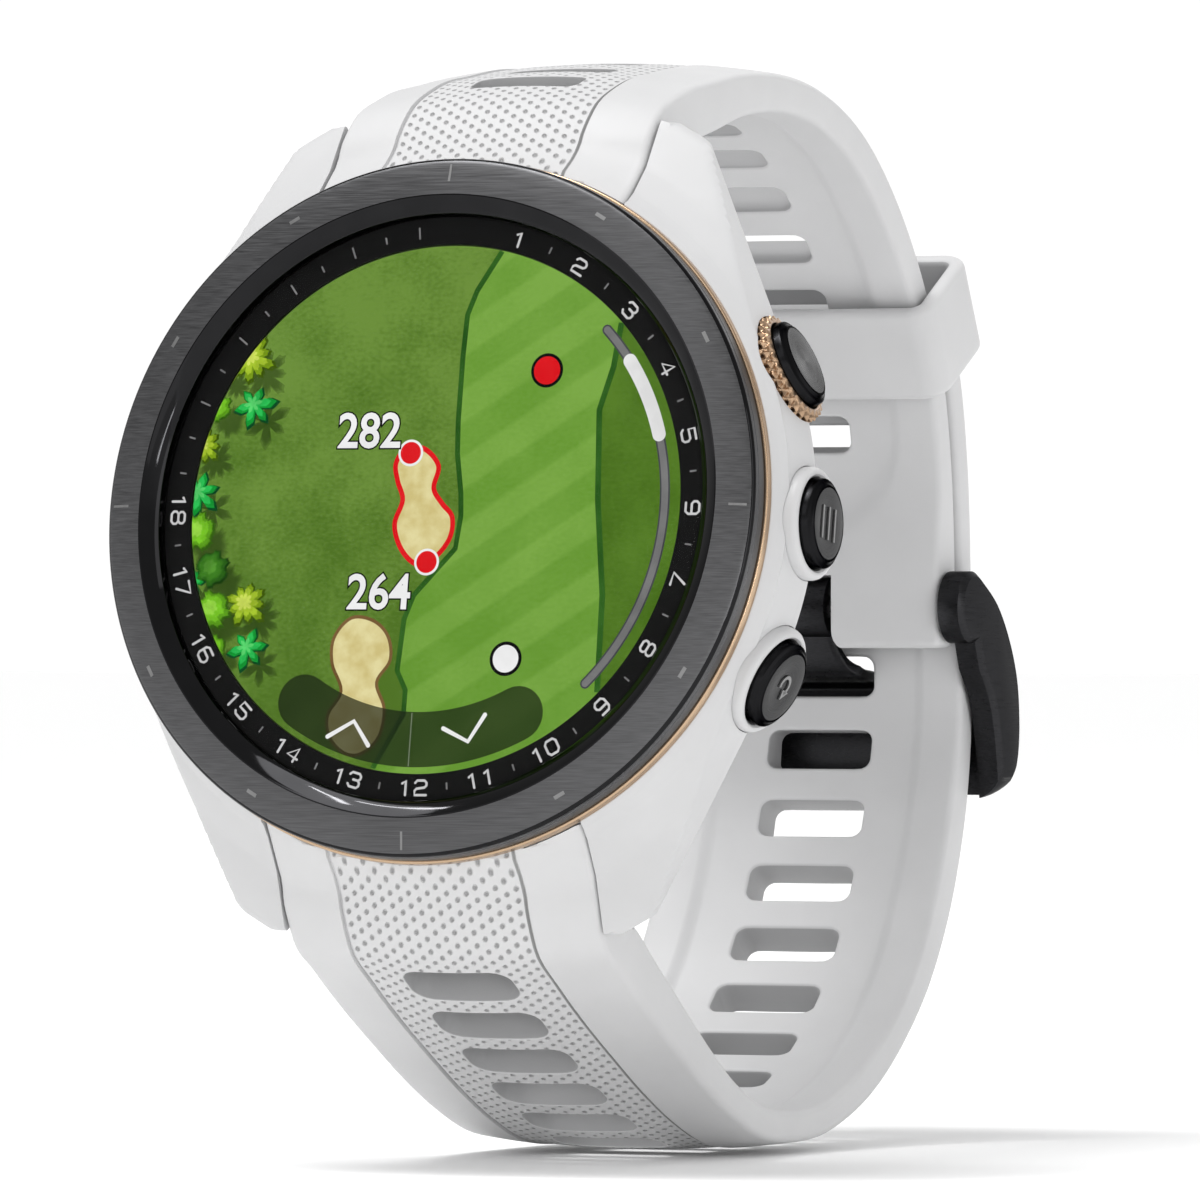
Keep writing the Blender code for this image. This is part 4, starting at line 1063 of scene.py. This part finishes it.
def upper_stations():
    return strap_stations(UPPER_LINE, 1, UPPER_THICKNESSES, UPPER_LUG_INNER)


def lower_stations():
    upper = upper_stations()
    tail = []
    for index in TAIL_STATIONS:
        station = upper[index + len(LUG_OUTER)]
        outer, inner = Vector(station[:2]), Vector(station[2:])
        tail.append(tuple(outer + (outer - inner).normalized() * (LAYER_GAP + LOWER_THICK)))
    thicknesses = LOWER_THICKNESSES + [LOWER_THICK] * len(tail)
    return strap_stations(LOWER_LINE + tail, -1, thicknesses, LOWER_LUG_INNER)


def start_shift(x, along):
    """How far the strap's first rows reach in towards the head, to lie against its round edge."""
    if along >= 0:
        return 0.0
    return -along * max(0.0, LUG_OUTER[0][0] - math.sqrt(HEAD_EDGE**2 - x * x))


class Strap:
    """A strap's shape: points on its outer and inner faces at a distance along it and an x across it."""

    def __init__(self, stations, side_sign, free_end, recess_end):
        self.stations = stations
        self.recess_end = recess_end
        self.side_sign = side_sign
        self.free_end = free_end
        self.marks = [0.0]
        for before, after in zip(stations, stations[1:]):
            self.marks.append(self.marks[-1] + math.dist(before[:2], after[:2]))
        self.length = self.marks[-1]

    def section(self, along):
        """The outer and inner (y, z) points, smoothed between the stations."""
        index, along = 0, max(along, 0.0)
        while index < len(self.marks) - 2 and self.marks[index + 1] < along:
            index += 1
        t = (along - self.marks[index]) / (self.marks[index + 1] - self.marks[index])
        last = len(self.stations) - 1
        four = [self.stations[min(max(index + shift, 0), last)] for shift in (-1, 0, 1, 2)]
        point = catmull(four, t)
        return Vector(point[:2]), Vector(point[2:])

    def inset(self, along):
        """How much the free end's rounding takes off each side."""
        left = self.free_end - (self.length - along)
        if left <= 0:
            return 0.0
        return self.free_end - math.sqrt(max(self.free_end**2 - left**2, 0.0))

    def tapered(self, along, front, back):
        """A value that changes from the lugs to the back of the wrist."""
        outer, _ = self.section(along)
        return front + (back - front) * min(max(outer.x / TAPER_END, 0.0), 1.0)

    def half(self, along):
        return self.tapered(along, WIDTH_LUG, WIDTH_BACK) - self.inset(along)

    def cone_drop(self, x, along):
        """The drop that keeps the first stretch level with the case's sloping face."""
        outer, _ = self.section(along)
        reach = abs(math.sin(FACE_LEAN) * outer.x + math.cos(FACE_LEAN) * outer.y)
        depth = math.cos(FACE_LEAN) * outer.x - math.sin(FACE_LEAN) * outer.y
        round_reach = math.hypot(x, reach - start_shift(x, along))
        return max(case_depth(round_reach), 2.72) - depth

    def top_drop(self, x, along):
        across = self.tapered(along, CROWN_FRONT, CROWN_BACK) * (x / self.half(along)) ** 2
        end = self.marks[2] + 1.0
        if along < end:
            share = min((end - along) / (end - self.marks[1]), 1.0)
            across += (self.cone_drop(x, along) - across) * share * share * (3 - 2 * share)
        from_edge = PANEL_HALF - abs(x)
        if abs(from_edge) <= GROOVE_HALF:
            across += GROOVE_DROP
        elif from_edge > 0:
            across += PANEL_DROP
        return across + 0.5 * self.inset(along)

    def point(self, x, along, drop):
        outer, inner = self.section(along)
        at = outer - (outer - inner).normalized() * drop
        inwards = Vector((math.sin(FACE_LEAN), math.cos(FACE_LEAN))) * self.side_sign
        at -= inwards * start_shift(x, along)
        return (x, at.x, at.y)

    def thick(self, along):
        outer, inner = self.section(along)
        return (outer - inner).length - 0.5 * self.inset(along)

    def side(self, along):
        """(x, drop) from the panel's edge, over the outer edge and back under to the inner recess."""
        half, thick = self.half(along), self.thick(along)
        line = [
            (x, self.top_drop(x, along))
            for x in (PANEL_HALF - 0.14, PANEL_HALF - 0.06, PANEL_HALF + 0.06, PANEL_HALF + 0.12)
        ]
        shoulder = half - EDGE_ROUND
        for share in (0.18, 0.4, 0.6, 0.8, 0.93, 1.0):
            x = PANEL_HALF + 0.12 + (shoulder - PANEL_HALF - 0.12) * share
            line.append((x, self.top_drop(x, along)))
        edge = self.top_drop(shoulder, along)
        reach = min(EDGE_ROUND, (thick - edge) * 0.45)
        for turn in (22, 45, 67, 90):
            a = math.radians(turn)
            line.append((shoulder + EDGE_ROUND * math.sin(a), edge + reach * (1 - math.cos(a))))
        low = min(0.4, (thick - edge) * 0.3)
        for turn in (90, 60, 30, 0):
            a = math.radians(turn)
            line.append((half - low + low * math.sin(a), thick - low + low * math.cos(a)))
        for x in (half - 0.9, (half - 0.9 + RECESS_HALF) / 2):
            line.append((x, self.bottom_drop(x, along)))
        for share in (0.0, 0.2, 0.4, 0.6, 0.8, 1.0):
            x = RECESS_HALF - RECESS_SLOPE * share
            line.append((x, self.bottom_drop(x, along)))
        return line

    def bottom_drop(self, x, along):
        """The inner face, with a shallow recess round the slots that ends in a half circle."""
        past = along - (self.recess_end - PANEL_HALF) if self.recess_end else 0.0
        edge = RECESS_HALF - math.hypot(x, max(past, 0.0))
        share = min(max(edge / RECESS_SLOPE, 0.0), 1.0)
        return self.thick(along) - INNER_RECESS * share * share * (3 - 2 * share)


def case_depth(reach):
    """The depth of the case's face at a distance from its middle."""
    for before, after in zip(CASE_LEVELS, CASE_LEVELS[1:6]):
        if reach <= after[4]:
            t = max((reach - before[4]) / (after[4] - before[4]), 0.0)
            return before[0] + (after[0] - before[0]) * t + 0.03
    return CASE_LEVELS[5][0] + (reach - CASE_LEVELS[5][4]) * 0.62


def strap_rows(length, cells):
    """Distances of the rows, and the (first row, last row, middle, half height, corner) of each slot."""
    rows, slots = [-1.0, -0.5, 0.0], []
    for middle, pitch, half, corner in cells:
        start = middle - pitch / 2
        fill_rows(rows, start)
        first = len(rows) - 1
        rows += [start + pitch * (step + 1) / SLOT_ROWS for step in range(SLOT_ROWS)]
        slots.append((first, len(rows) - 1, middle, half, corner))
    fill_rows(rows, length - TIP)
    rows += [length - TIP * (1 - math.sin(math.radians(turn))) for turn in (15, 30, 45, 60, 75, 88)]
    return rows, slots


def fill_rows(rows, end, most=0.8):
    """Adds evenly spaced rows up to an end."""
    start, gap = rows[-1], end - rows[-1]
    if gap > 1e-6:
        count = math.ceil(gap / most)
        rows += [start + gap * (step + 1) / count for step in range(count)]


def strap_mesh(strap, cells):
    """The strap's skin. Materials: 0 plain, 1 the grip panel, 2 the groove, darker silicone as painted
    shade, 3 slot walls, darker silicone as painted shade.
    """
    bm = bmesh.new()
    uv = bm.loops.layers.uv.new("UVMap")
    flats = {}

    def vertex(x, along, drop):
        vert = bm.verts.new(strap.point(x, along, drop))
        flats[vert] = (x, along)
        return vert

    def face(verts, look=0):
        bm.faces.new(verts).material_index = look

    rows, slots = strap_rows(strap.length, cells)
    hollow = set()
    for slot in slots:
        hollow.update(range(slot[0], slot[1]))
    across = [-CORE + 2 * CORE * step / PANEL_COLUMNS for step in range(PANEL_COLUMNS + 1)]
    rings = []
    for along in rows:
        side = strap.side(along)
        ring = [vertex(x, along, strap.top_drop(x, along)) for x in across]
        ring += [vertex(x, along, drop) for x, drop in side]
        ring += [vertex(x, along, strap.bottom_drop(x, along)) for x in reversed(across)]
        ring += [vertex(-x, along, drop) for x, drop in reversed(side)]
        rings.append(ring)
    count = len(rings[0])
    low_start = PANEL_COLUMNS + 1 + len(strap.side(0.0))
    top_span = range(PANEL_COLUMNS)
    low_span = range(low_start, low_start + PANEL_COLUMNS)
    edge_span = (PANEL_COLUMNS, count - 1)
    groove_span = {PANEL_COLUMNS + step for step in (1, 2, 3)}
    for index in range(len(rings) - 1):
        for column in range(count):
            if index in hollow and (column in top_span or column in low_span):
                continue
            after = (column + 1) % count
            lower, upper = rings[index], rings[index + 1]
            gripped = column in top_span or column in edge_span
            # The groove's faces take the darker silicone: painted shade.
            look = 2 if column in groove_span else int(gripped)
            face((lower[column], lower[after], upper[after], upper[column]), look)
    for ring in (rings[0], rings[-1]):
        face(ring)
    for first, last, *size in slots:
        top = boundary(rings, first, last, list(range(PANEL_COLUMNS + 1)))
        low_columns = list(range(low_start + PANEL_COLUMNS, low_start - 1, -1))
        low = boundary(rings, first, last, low_columns)
        loops = [top] + slot_loops(strap, [flats[vert] for vert in top], size, vertex) + [low]
        for number, (outer, inner) in enumerate(zip(loops, loops[1:])):
            for index in range(len(outer)):
                after = (index + 1) % len(outer)
                # The slot's wall loops take the darker silicone: painted shade.
                look = 1 if number < 2 else 3 if number in WALL_LOOPS else 0
                face((outer[index], outer[after], inner[after], inner[index]), look)
    for made in bm.faces:
        for loop in made.loops:
            loop[uv].uv = flats[loop.vert]
    return bm


def boundary(rings, first, last, columns):
    """The vertices round one slot's cell."""
    loop = [rings[first][column] for column in columns]
    loop += [rings[row][columns[-1]] for row in range(first + 1, last)]
    loop += [rings[last][column] for column in reversed(columns)]
    return loop + [rings[row][columns[0]] for row in range(last - 1, first, -1)]


def slot_loops(strap, outline, size, vertex):
    """Rings of vertices from a cell's edge down through its slot: rim, fillet, wall, fillet and rim."""
    middle, half, corner = size
    core_x, core_y = SLOT_HALF - corner, half - corner
    turns = [math.radians(angle) for angle in (0, 18, 36, 54, 72, 90)]
    loops = []
    for top_side, fillet in ((True, RIM_OUTSIDE), (False, RIM_INSIDE)):
        made = []
        rims = [(corner + fillet + 0.1, 0.0)]
        rims += [(corner + fillet * (1 - math.sin(a)), fillet * (1 - math.cos(a))) for a in turns]
        for reach, sink in rims:
            loop = []
            for x, along in outline:
                heart = Vector((min(max(x, -core_x), core_x), min(max(along - middle, -core_y), core_y)))
                away = (Vector((x, along - middle)) - heart).normalized() * reach
                at_x, at_along = heart.x + away.x, middle + heart.y + away.y
                if top_side:
                    drop = strap.top_drop(at_x, at_along) + sink
                else:
                    drop = strap.bottom_drop(at_x, at_along) - sink
                loop.append(vertex(at_x, at_along, drop))
            made.append(loop)
        loops += made if top_side else made[::-1]
    return loops


def build_straps(finish):
    for name, side, stations, groups, free_end, recess_end in (
        ("upper", 1, upper_stations(), UPPER_SLOTS, UPPER_ROUND, UPPER_RECESS),
        ("lower", -1, lower_stations(), LOWER_SLOTS, LOWER_ROUND, None),
    ):
        strap = Strap(stations, side, free_end, recess_end)
        cells = [
            (first + pitch * index, pitch - 1e-4, half, corner)
            for first, pitch, number, half, corner in groups for index in range(number)
        ]
        cells = [cell for cell in cells if cell[0] + cell[1] / 2 < strap.length - TIP]
        looks = [finish["silicone"], finish["grip"], finish["painted_groove_shade"], finish["painted_wall_shade"]]
        obj = piece(f"{name}_strap_moulded", strap_mesh(strap, cells), looks, matrix=FLAT,
                    replaces=[f"strap_{name}"], angle=40)
        slit = extruded(rounded_box(*RELEASE_HALF, 0.3, 5), -13, -6.9)
        cut(obj, [moved(slit, Matrix.Translation((RELEASE_X, side * RELEASE_REACH, 0)))])
        if name == "upper":
            flare = arc((NOTCH_HALF + 1.5, -7.3), 1.5, 180, 270, 8)
            right = [(NOTCH_HALF, NOTCH_TOP)] + flare + [(NOTCH_HALF + 1.5, -12)]
            notch = extruded(right + [(-x, z) for x, z in reversed(right)], -59, -50)
            cut(obj, [moved(notch, UPRIGHT)], FLAT)


# Keeper and buckle


def build_keeper(finish):
    station = upper_stations()[9 + len(LUG_OUTER)]
    outer, inner = Vector(station[:2]), Vector(station[2:])
    outward = (outer - inner).normalized()
    low, high = -UPPER_THICK - 0.45, LAYER_GAP + LOWER_THICK + 0.3
    centre = outer + outward * (low + high) / 2
    half = (high - low) / 2
    frame = Matrix(((1, 0, 0), (0, outward.x, -outward.y), (0, outward.y, outward.x))).to_4x4()
    frame.translation = (0, centre.x, centre.y)
    wall, width, length, ease = 1.05, 9.6, 3.0, 0.42
    rows = []
    turns = [math.radians(angle) for angle in (0, 22, 45, 68, 90)]
    profile = [(wall - ease + ease * math.sin(a), -length + ease * (1 - math.cos(a))) for a in turns]
    profile += [(wall, 0.0)]
    profile += [(wall - ease + ease * math.cos(a), length - ease + ease * math.sin(a)) for a in turns]
    inside = [(ease * (1 - math.sin(a)), length - ease * (1 - math.cos(a))) for a in turns]
    inside += [(0.0, 0.0)]
    inside += [(ease * (1 - math.cos(a)), -length + ease * (1 - math.sin(a))) for a in turns]
    for offset, z in profile + inside:
        outline = rounded_box(width + offset, half + offset, 0.5 + offset * 1.05, 8)
        rows.append([(x, y, z) for x, y in outline])
    # The band's inside takes the darker silicone: painted shade.
    inner_rows = range(len(profile) + 2, len(rows) - 2)
    band = skin(rows, looped=True, paint=lambda row: 1 if row in inner_rows else 0)
    piece("keeper_band", band, [finish["silicone"], finish["painted_wall_shade"]], "keeper", FLAT @ frame,
          ["keeper_loop"])


FRAME_OUTER_LINE = [
    (59.4, -5.5), (61.4, -7.7), (62.7, -10.2), (63.1, -12.8), (62.9, -15.0), (62.1, -16.6), (61.1, -17.4),
]
FRAME_INNER_LINE = [(60.3, -17.7), (59.9, -15.6), (59.4, -13.4), (58.5, -11.4), (57.0, -9.7)]
TONGUE_LINE = [
    (55.7, -7.1), (56.0, -8.4), (56.8, -9.55), (58.2, -10.05), (60.0, -10.25), (61.1, -10.7), (61.45, -11.6),
]
ARM_INNER, ARM_OUTER, ARM_BOSS, CROSSBAR_TOP = 9.65, 11.3, 2.2, -12.95
ARM_CHAMFER, FRAME_CORNER = 0.85, 2.5
WINDOW_HALF, WINDOW_CORNER = 9.0, 2.0
PIN_HOLE = 0.85


def build_buckle(finish):
    boss = arc((PIVOT_Y, PIVOT_Z), ARM_BOSS, -75, -300, 28)
    outer = eased([boss[-1]] + FRAME_OUTER_LINE, closed=False, steps=5)[1:]
    inner = eased(FRAME_INNER_LINE, closed=False, steps=4)
    solid = extruded(boss + outer + inner, -ARM_OUTER, ARM_OUTER)
    bmesh.ops.recalc_face_normals(solid, faces=solid.faces)
    rim = [edge for edge in solid.edges if abs(edge.verts[0].co.z - edge.verts[1].co.z) < 1e-4]
    bmesh.ops.bevel(solid, geom=rim, offset=ARM_CHAMFER, segments=1, affect="EDGES", clamp_overlap=True)
    frame = piece("buckle_frame_formed", moved(solid, SIDEWAYS), finish["buckle"], "buckle", FLAT,
                  ["buckle_frame"])
    window = [(48, -19), (61.0, -19), (61.0, 0), (48, 0)]
    hole = extruded(arc((PIVOT_Y, PIVOT_Z), PIN_HOLE, 0, 350, 36), -10.8, 10.8)
    tools = [moved(extruded(window, -ARM_INNER, ARM_INNER), SIDEWAYS), moved(hole, SIDEWAYS)]
    turn = arc((WINDOW_HALF - WINDOW_CORNER, CROSSBAR_TOP + WINDOW_CORNER), WINDOW_CORNER, -90, 0, 10)
    right = turn + [(WINDOW_HALF, CROSSBAR_TOP + 2.6), (ARM_INNER, CROSSBAR_TOP + 3.6), (ARM_INNER, 0)]
    outline = right + [(-x, z) for x, z in reversed(right)]
    tools.append(moved(extruded(outline, -66, -60.9), UPRIGHT))
    cut(frame, tools + [corner_tool(1), corner_tool(-1)], FLAT)
    soften(frame, 0.12, 2, 40)
    build_tongue(finish)


def corner_tool(side):
    """Takes the square corner off the frame where an arm turns into the crossbar."""
    low, reach = FRAME_INNER_LINE[0][1] - 0.05, ARM_OUTER + 0.05
    outline = arc((reach - FRAME_CORNER, low + FRAME_CORNER), FRAME_CORNER, -90, 0, 12)
    outline += [(reach + 2, low + FRAME_CORNER), (reach + 2, low - 2), (reach - FRAME_CORNER, low - 2)]
    return moved(extruded([(side * x, z) for x, z in outline], -66, -50), UPRIGHT)


def build_tongue(finish):
    line = eased(TONGUE_LINE, closed=False, steps=5)
    rows = []
    for index, (y, z) in enumerate(line):
        before, after = line[max(index - 1, 0)], line[min(index + 1, len(line) - 1)]
        run = Vector((after[0] - before[0], after[1] - before[1])).normalized()
        across = Vector((-run.y, run.x)) * 0.4
        share = min(index / 12.0, 1.0)
        half = 1.95 + 1.05 * share * share
        left = (len(line) - 1 - index) * 0.3
        half -= 0.5 * max(0.0, 1.0 - left) ** 2
        outline = rounded_box(half, 1.0, 0.45, 4)
        rows.append([(x, y + across.x * n, z + across.y * n) for x, n in outline])
    blade = skin(rows, capped=True)
    tongue = piece("buckle_tongue_formed", blade, finish["buckle"], "tongue", FLAT,
                   ["buckle_tongue"])
    eye = moved(extruded(arc((PIVOT_Y, PIVOT_Z), TONGUE_EYE, 0, 350, 36), -1.95, 1.95), SIDEWAYS)
    cut(tongue, [eye], FLAT, "UNION")
    hole = moved(extruded(arc((PIVOT_Y, PIVOT_Z), PIN_HOLE, 0, 350, 36), -4, 4), SIDEWAYS)
    cut(tongue, [hole], FLAT)
    soften(tongue, 0.1, 2, 50)


# Back of the head


def build_back(finish):
    cover = [
        (6.55, -10.5), (6.55, -11.68), (6.6, -11.74), (6.8, -11.76), (9.6, -11.7), (17.5, -11.52),
        (17.85, -11.46), (19.2, -10.92), (19.3, -10.82), (19.3, -10.5),
    ]
    obj = piece("back_cover", turned(cover), finish["grey"], replaces=["case_back"])
    port = extruded(rounded_box(2.95, 1.25, 0.4, 6), -13, -10.8)
    tools = [moved(port, Matrix.Translation((0, -11.2, 0)))]
    for quarter in range(4):
        turn = Matrix.Rotation(math.radians(45 + 90 * quarter), 4, "Z") @ Matrix.Translation((17.1, 0, 0))
        seat = [(0, -13), (1.05, -13), (1.05, -10.85), (0.6, -10.85), (0.6, -10), (0, -10)]
        tools.append(moved(turned(seat, 40), turn))
    cut(obj, tools)
    window = [
        (0, -12.0), (1.8, -11.98), (3.6, -11.9), (5.0, -11.74), (5.9, -11.6), (6.35, -11.52), (6.45, -11.44),
        (6.5, -11.3), (6.5, -10.6), (0, -10.6),
    ]
    piece("back_window", turned(window, 160, looped=False), finish["sensor"],
          replaces=["sensor_window"])
    eyes = []
    for index in range(4):
        turn = Matrix.Rotation(math.radians(90 * index), 4, "Z") @ Matrix.Translation((3.0, 0, 0))
        eyes.append(moved(extruded(rounded_box(0.8, 0.8, 0.25, 5), -11.96, -11.9), turn))
    piece("sensor_eyes", joined(eyes), finish["eye"])


CAD_LOOKS = {
    "bezel_gasket": "gasket", "inner_chassis": "grey", "main_board": "board", "battery": "foil",
    "gps_antenna": "copper", "vibration_motor": "steel", "sensor_module": "board", "back_gasket": "gasket",
    "charge_port": "black", "lug_bar_upper": "steel", "lug_bar_lower": "steel", "release_pin_upper": "steel",
    "release_pin_lower": "steel", "buckle_bar": "steel",
}


def dress_frame(frame, finish):
    """Materials for the CAD nodes that are shown as they are."""
    looks = dict(CAD_LOOKS)
    looks.update({f"back_screw_{index}": "steel" for index in range(1, 5)})
    looks.update({f"charge_pin_{index}": "gold" for index in range(1, 5)})
    looks.update({f"{name}_seal": "rubber" for name in BUTTONS})
    looks.update({f"{name}_switch": "black" for name in BUTTONS})
    for name, look in looks.items():
        mesh = frame["nodes"][name].data
        mesh.materials.clear()
        mesh.materials.append(finish[look])


# Stage


AREA_LIGHTS = [  # name, place, size in metres, power
    ("front", (-0.12, -0.72, 0.5), (0.25, 0.4), 0.38),
    ("side", (0.9, -0.5, 0.25), (0.3, 0.8), 1.15),
    ("low_front", (0.1, -0.9, 0.05), (0.6, 0.3), 0.3),
    ("rear", (0.1, 0.9, 0.5), (0.9, 0.4), 1.2),
    ("strip_left", (-0.37, -0.15, 0.81), (0.03, 0.25), 0.95),
    ("strip_top", (-0.19, -0.22, 0.85), (0.03, 0.2), 0.8),
    ("strip_front", (0.56, -0.83, 0.06), (0.05, 0.2), 0.5),
]
SUN_PLACE, SUN_STRENGTH, SUN_WIDTH = (-0.22, -0.2, 0.95), 1.4, 34.0
CAMERA_PLACE, CAMERA_TURN, CAMERA_LENS = (287.9, -654.9, 0.54), 24.0, 360.0
FLOOR_GAP = 0.0001


def build_lights():
    """One soft sun overhead and area lights, all aimed at the origin."""
    lamp = bpy.data.lights.new("overhead", "SUN")
    lamp.energy = SUN_STRENGTH
    lamp.angle = math.radians(SUN_WIDTH)
    obj = new_object("overhead", lamp)
    obj.rotation_euler = (-Vector(SUN_PLACE)).to_track_quat("-Z", "Y").to_euler()
    for name, place, size, power in AREA_LIGHTS:
        lamp = bpy.data.lights.new(name, "AREA")
        lamp.shape = "RECTANGLE"
        lamp.size, lamp.size_y = size
        lamp.energy = power
        obj = new_object(name, lamp)
        obj.location = place
        obj.rotation_euler = (-Vector(place)).to_track_quat("-Z", "Y").to_euler()


def build_stage(lowest):
    bm = bmesh.new()
    bmesh.ops.create_grid(bm, x_segments=1, y_segments=1, size=4.0)
    mesh = new_mesh("floor", bm)
    nodes = Nodes("floor_paper")
    cloud = nodes.noise((0.02, 0.02, 0.02))
    pale = nodes.spread(cloud, (0.97, 0.97, 0.97), (0.985, 0.985, 0.985))
    nodes.set(colour=pale, roughness=0.8, specular=0.1, emission=(1.0, 1.0, 1.0), strength=0.03)
    mesh.materials.append(nodes.material)
    floor = new_object("floor", mesh)
    floor.location = (0.0, 0.3, lowest - FLOOR_GAP)
    build_lights()
    build_world()
    bpy.context.scene.view_settings.view_transform = "Standard"


def build_world():
    """A studio that is white round the horizon and dimmer overhead and below."""
    world = bpy.data.worlds.new("studio")
    bpy.context.scene.world = world
    world.use_nodes = True
    tree = world.node_tree
    around = tree.nodes.new("ShaderNodeTexCoord").outputs["Generated"]
    split = tree.nodes.new("ShaderNodeSeparateXYZ")
    height = tree.nodes.new("ShaderNodeMath")
    height.operation = "ABSOLUTE"
    ramp = tree.nodes.new("ShaderNodeMapRange")
    ramp.interpolation_type = "SMOOTHSTEP"
    for name, value in (("From Min", 0.07), ("From Max", 0.35), ("To Min", 1.04), ("To Max", 0.55)):
        ramp.inputs[name].default_value = value
    tree.links.new(around, split.inputs[0])
    tree.links.new(split.outputs[2], height.inputs[0])
    tree.links.new(height.outputs[0], ramp.inputs["Value"])
    tree.links.new(ramp.outputs[0], tree.nodes["Background"].inputs["Strength"])
    tree.nodes["Background"].inputs["Color"].default_value = (1.0, 1.0, 1.0, 1.0)


def build_camera():
    lens = bpy.data.cameras.new("camera")
    lens.lens, lens.sensor_width = CAMERA_LENS, 36.0
    lens.clip_start, lens.clip_end = 0.01, 20.0
    camera = new_object("camera", lens)
    camera.location = Vector(CAMERA_PLACE) * MM
    camera.rotation_euler = (math.pi / 2, 0.0, math.radians(CAMERA_TURN))
    bpy.context.scene.camera = camera


def main():
    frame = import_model()
    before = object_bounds()
    build_camera()
    finish = make_materials()
    dress_frame(frame, finish)
    build_bezel(finish)
    build_trim(finish)
    build_case(finish)
    build_screen()
    build_ring(finish)
    build_glass()
    build_buttons(finish)
    build_straps(finish)
    build_keeper(finish)
    build_buckle(finish)
    build_back(finish)
    build_stage(before[0][2])


main()
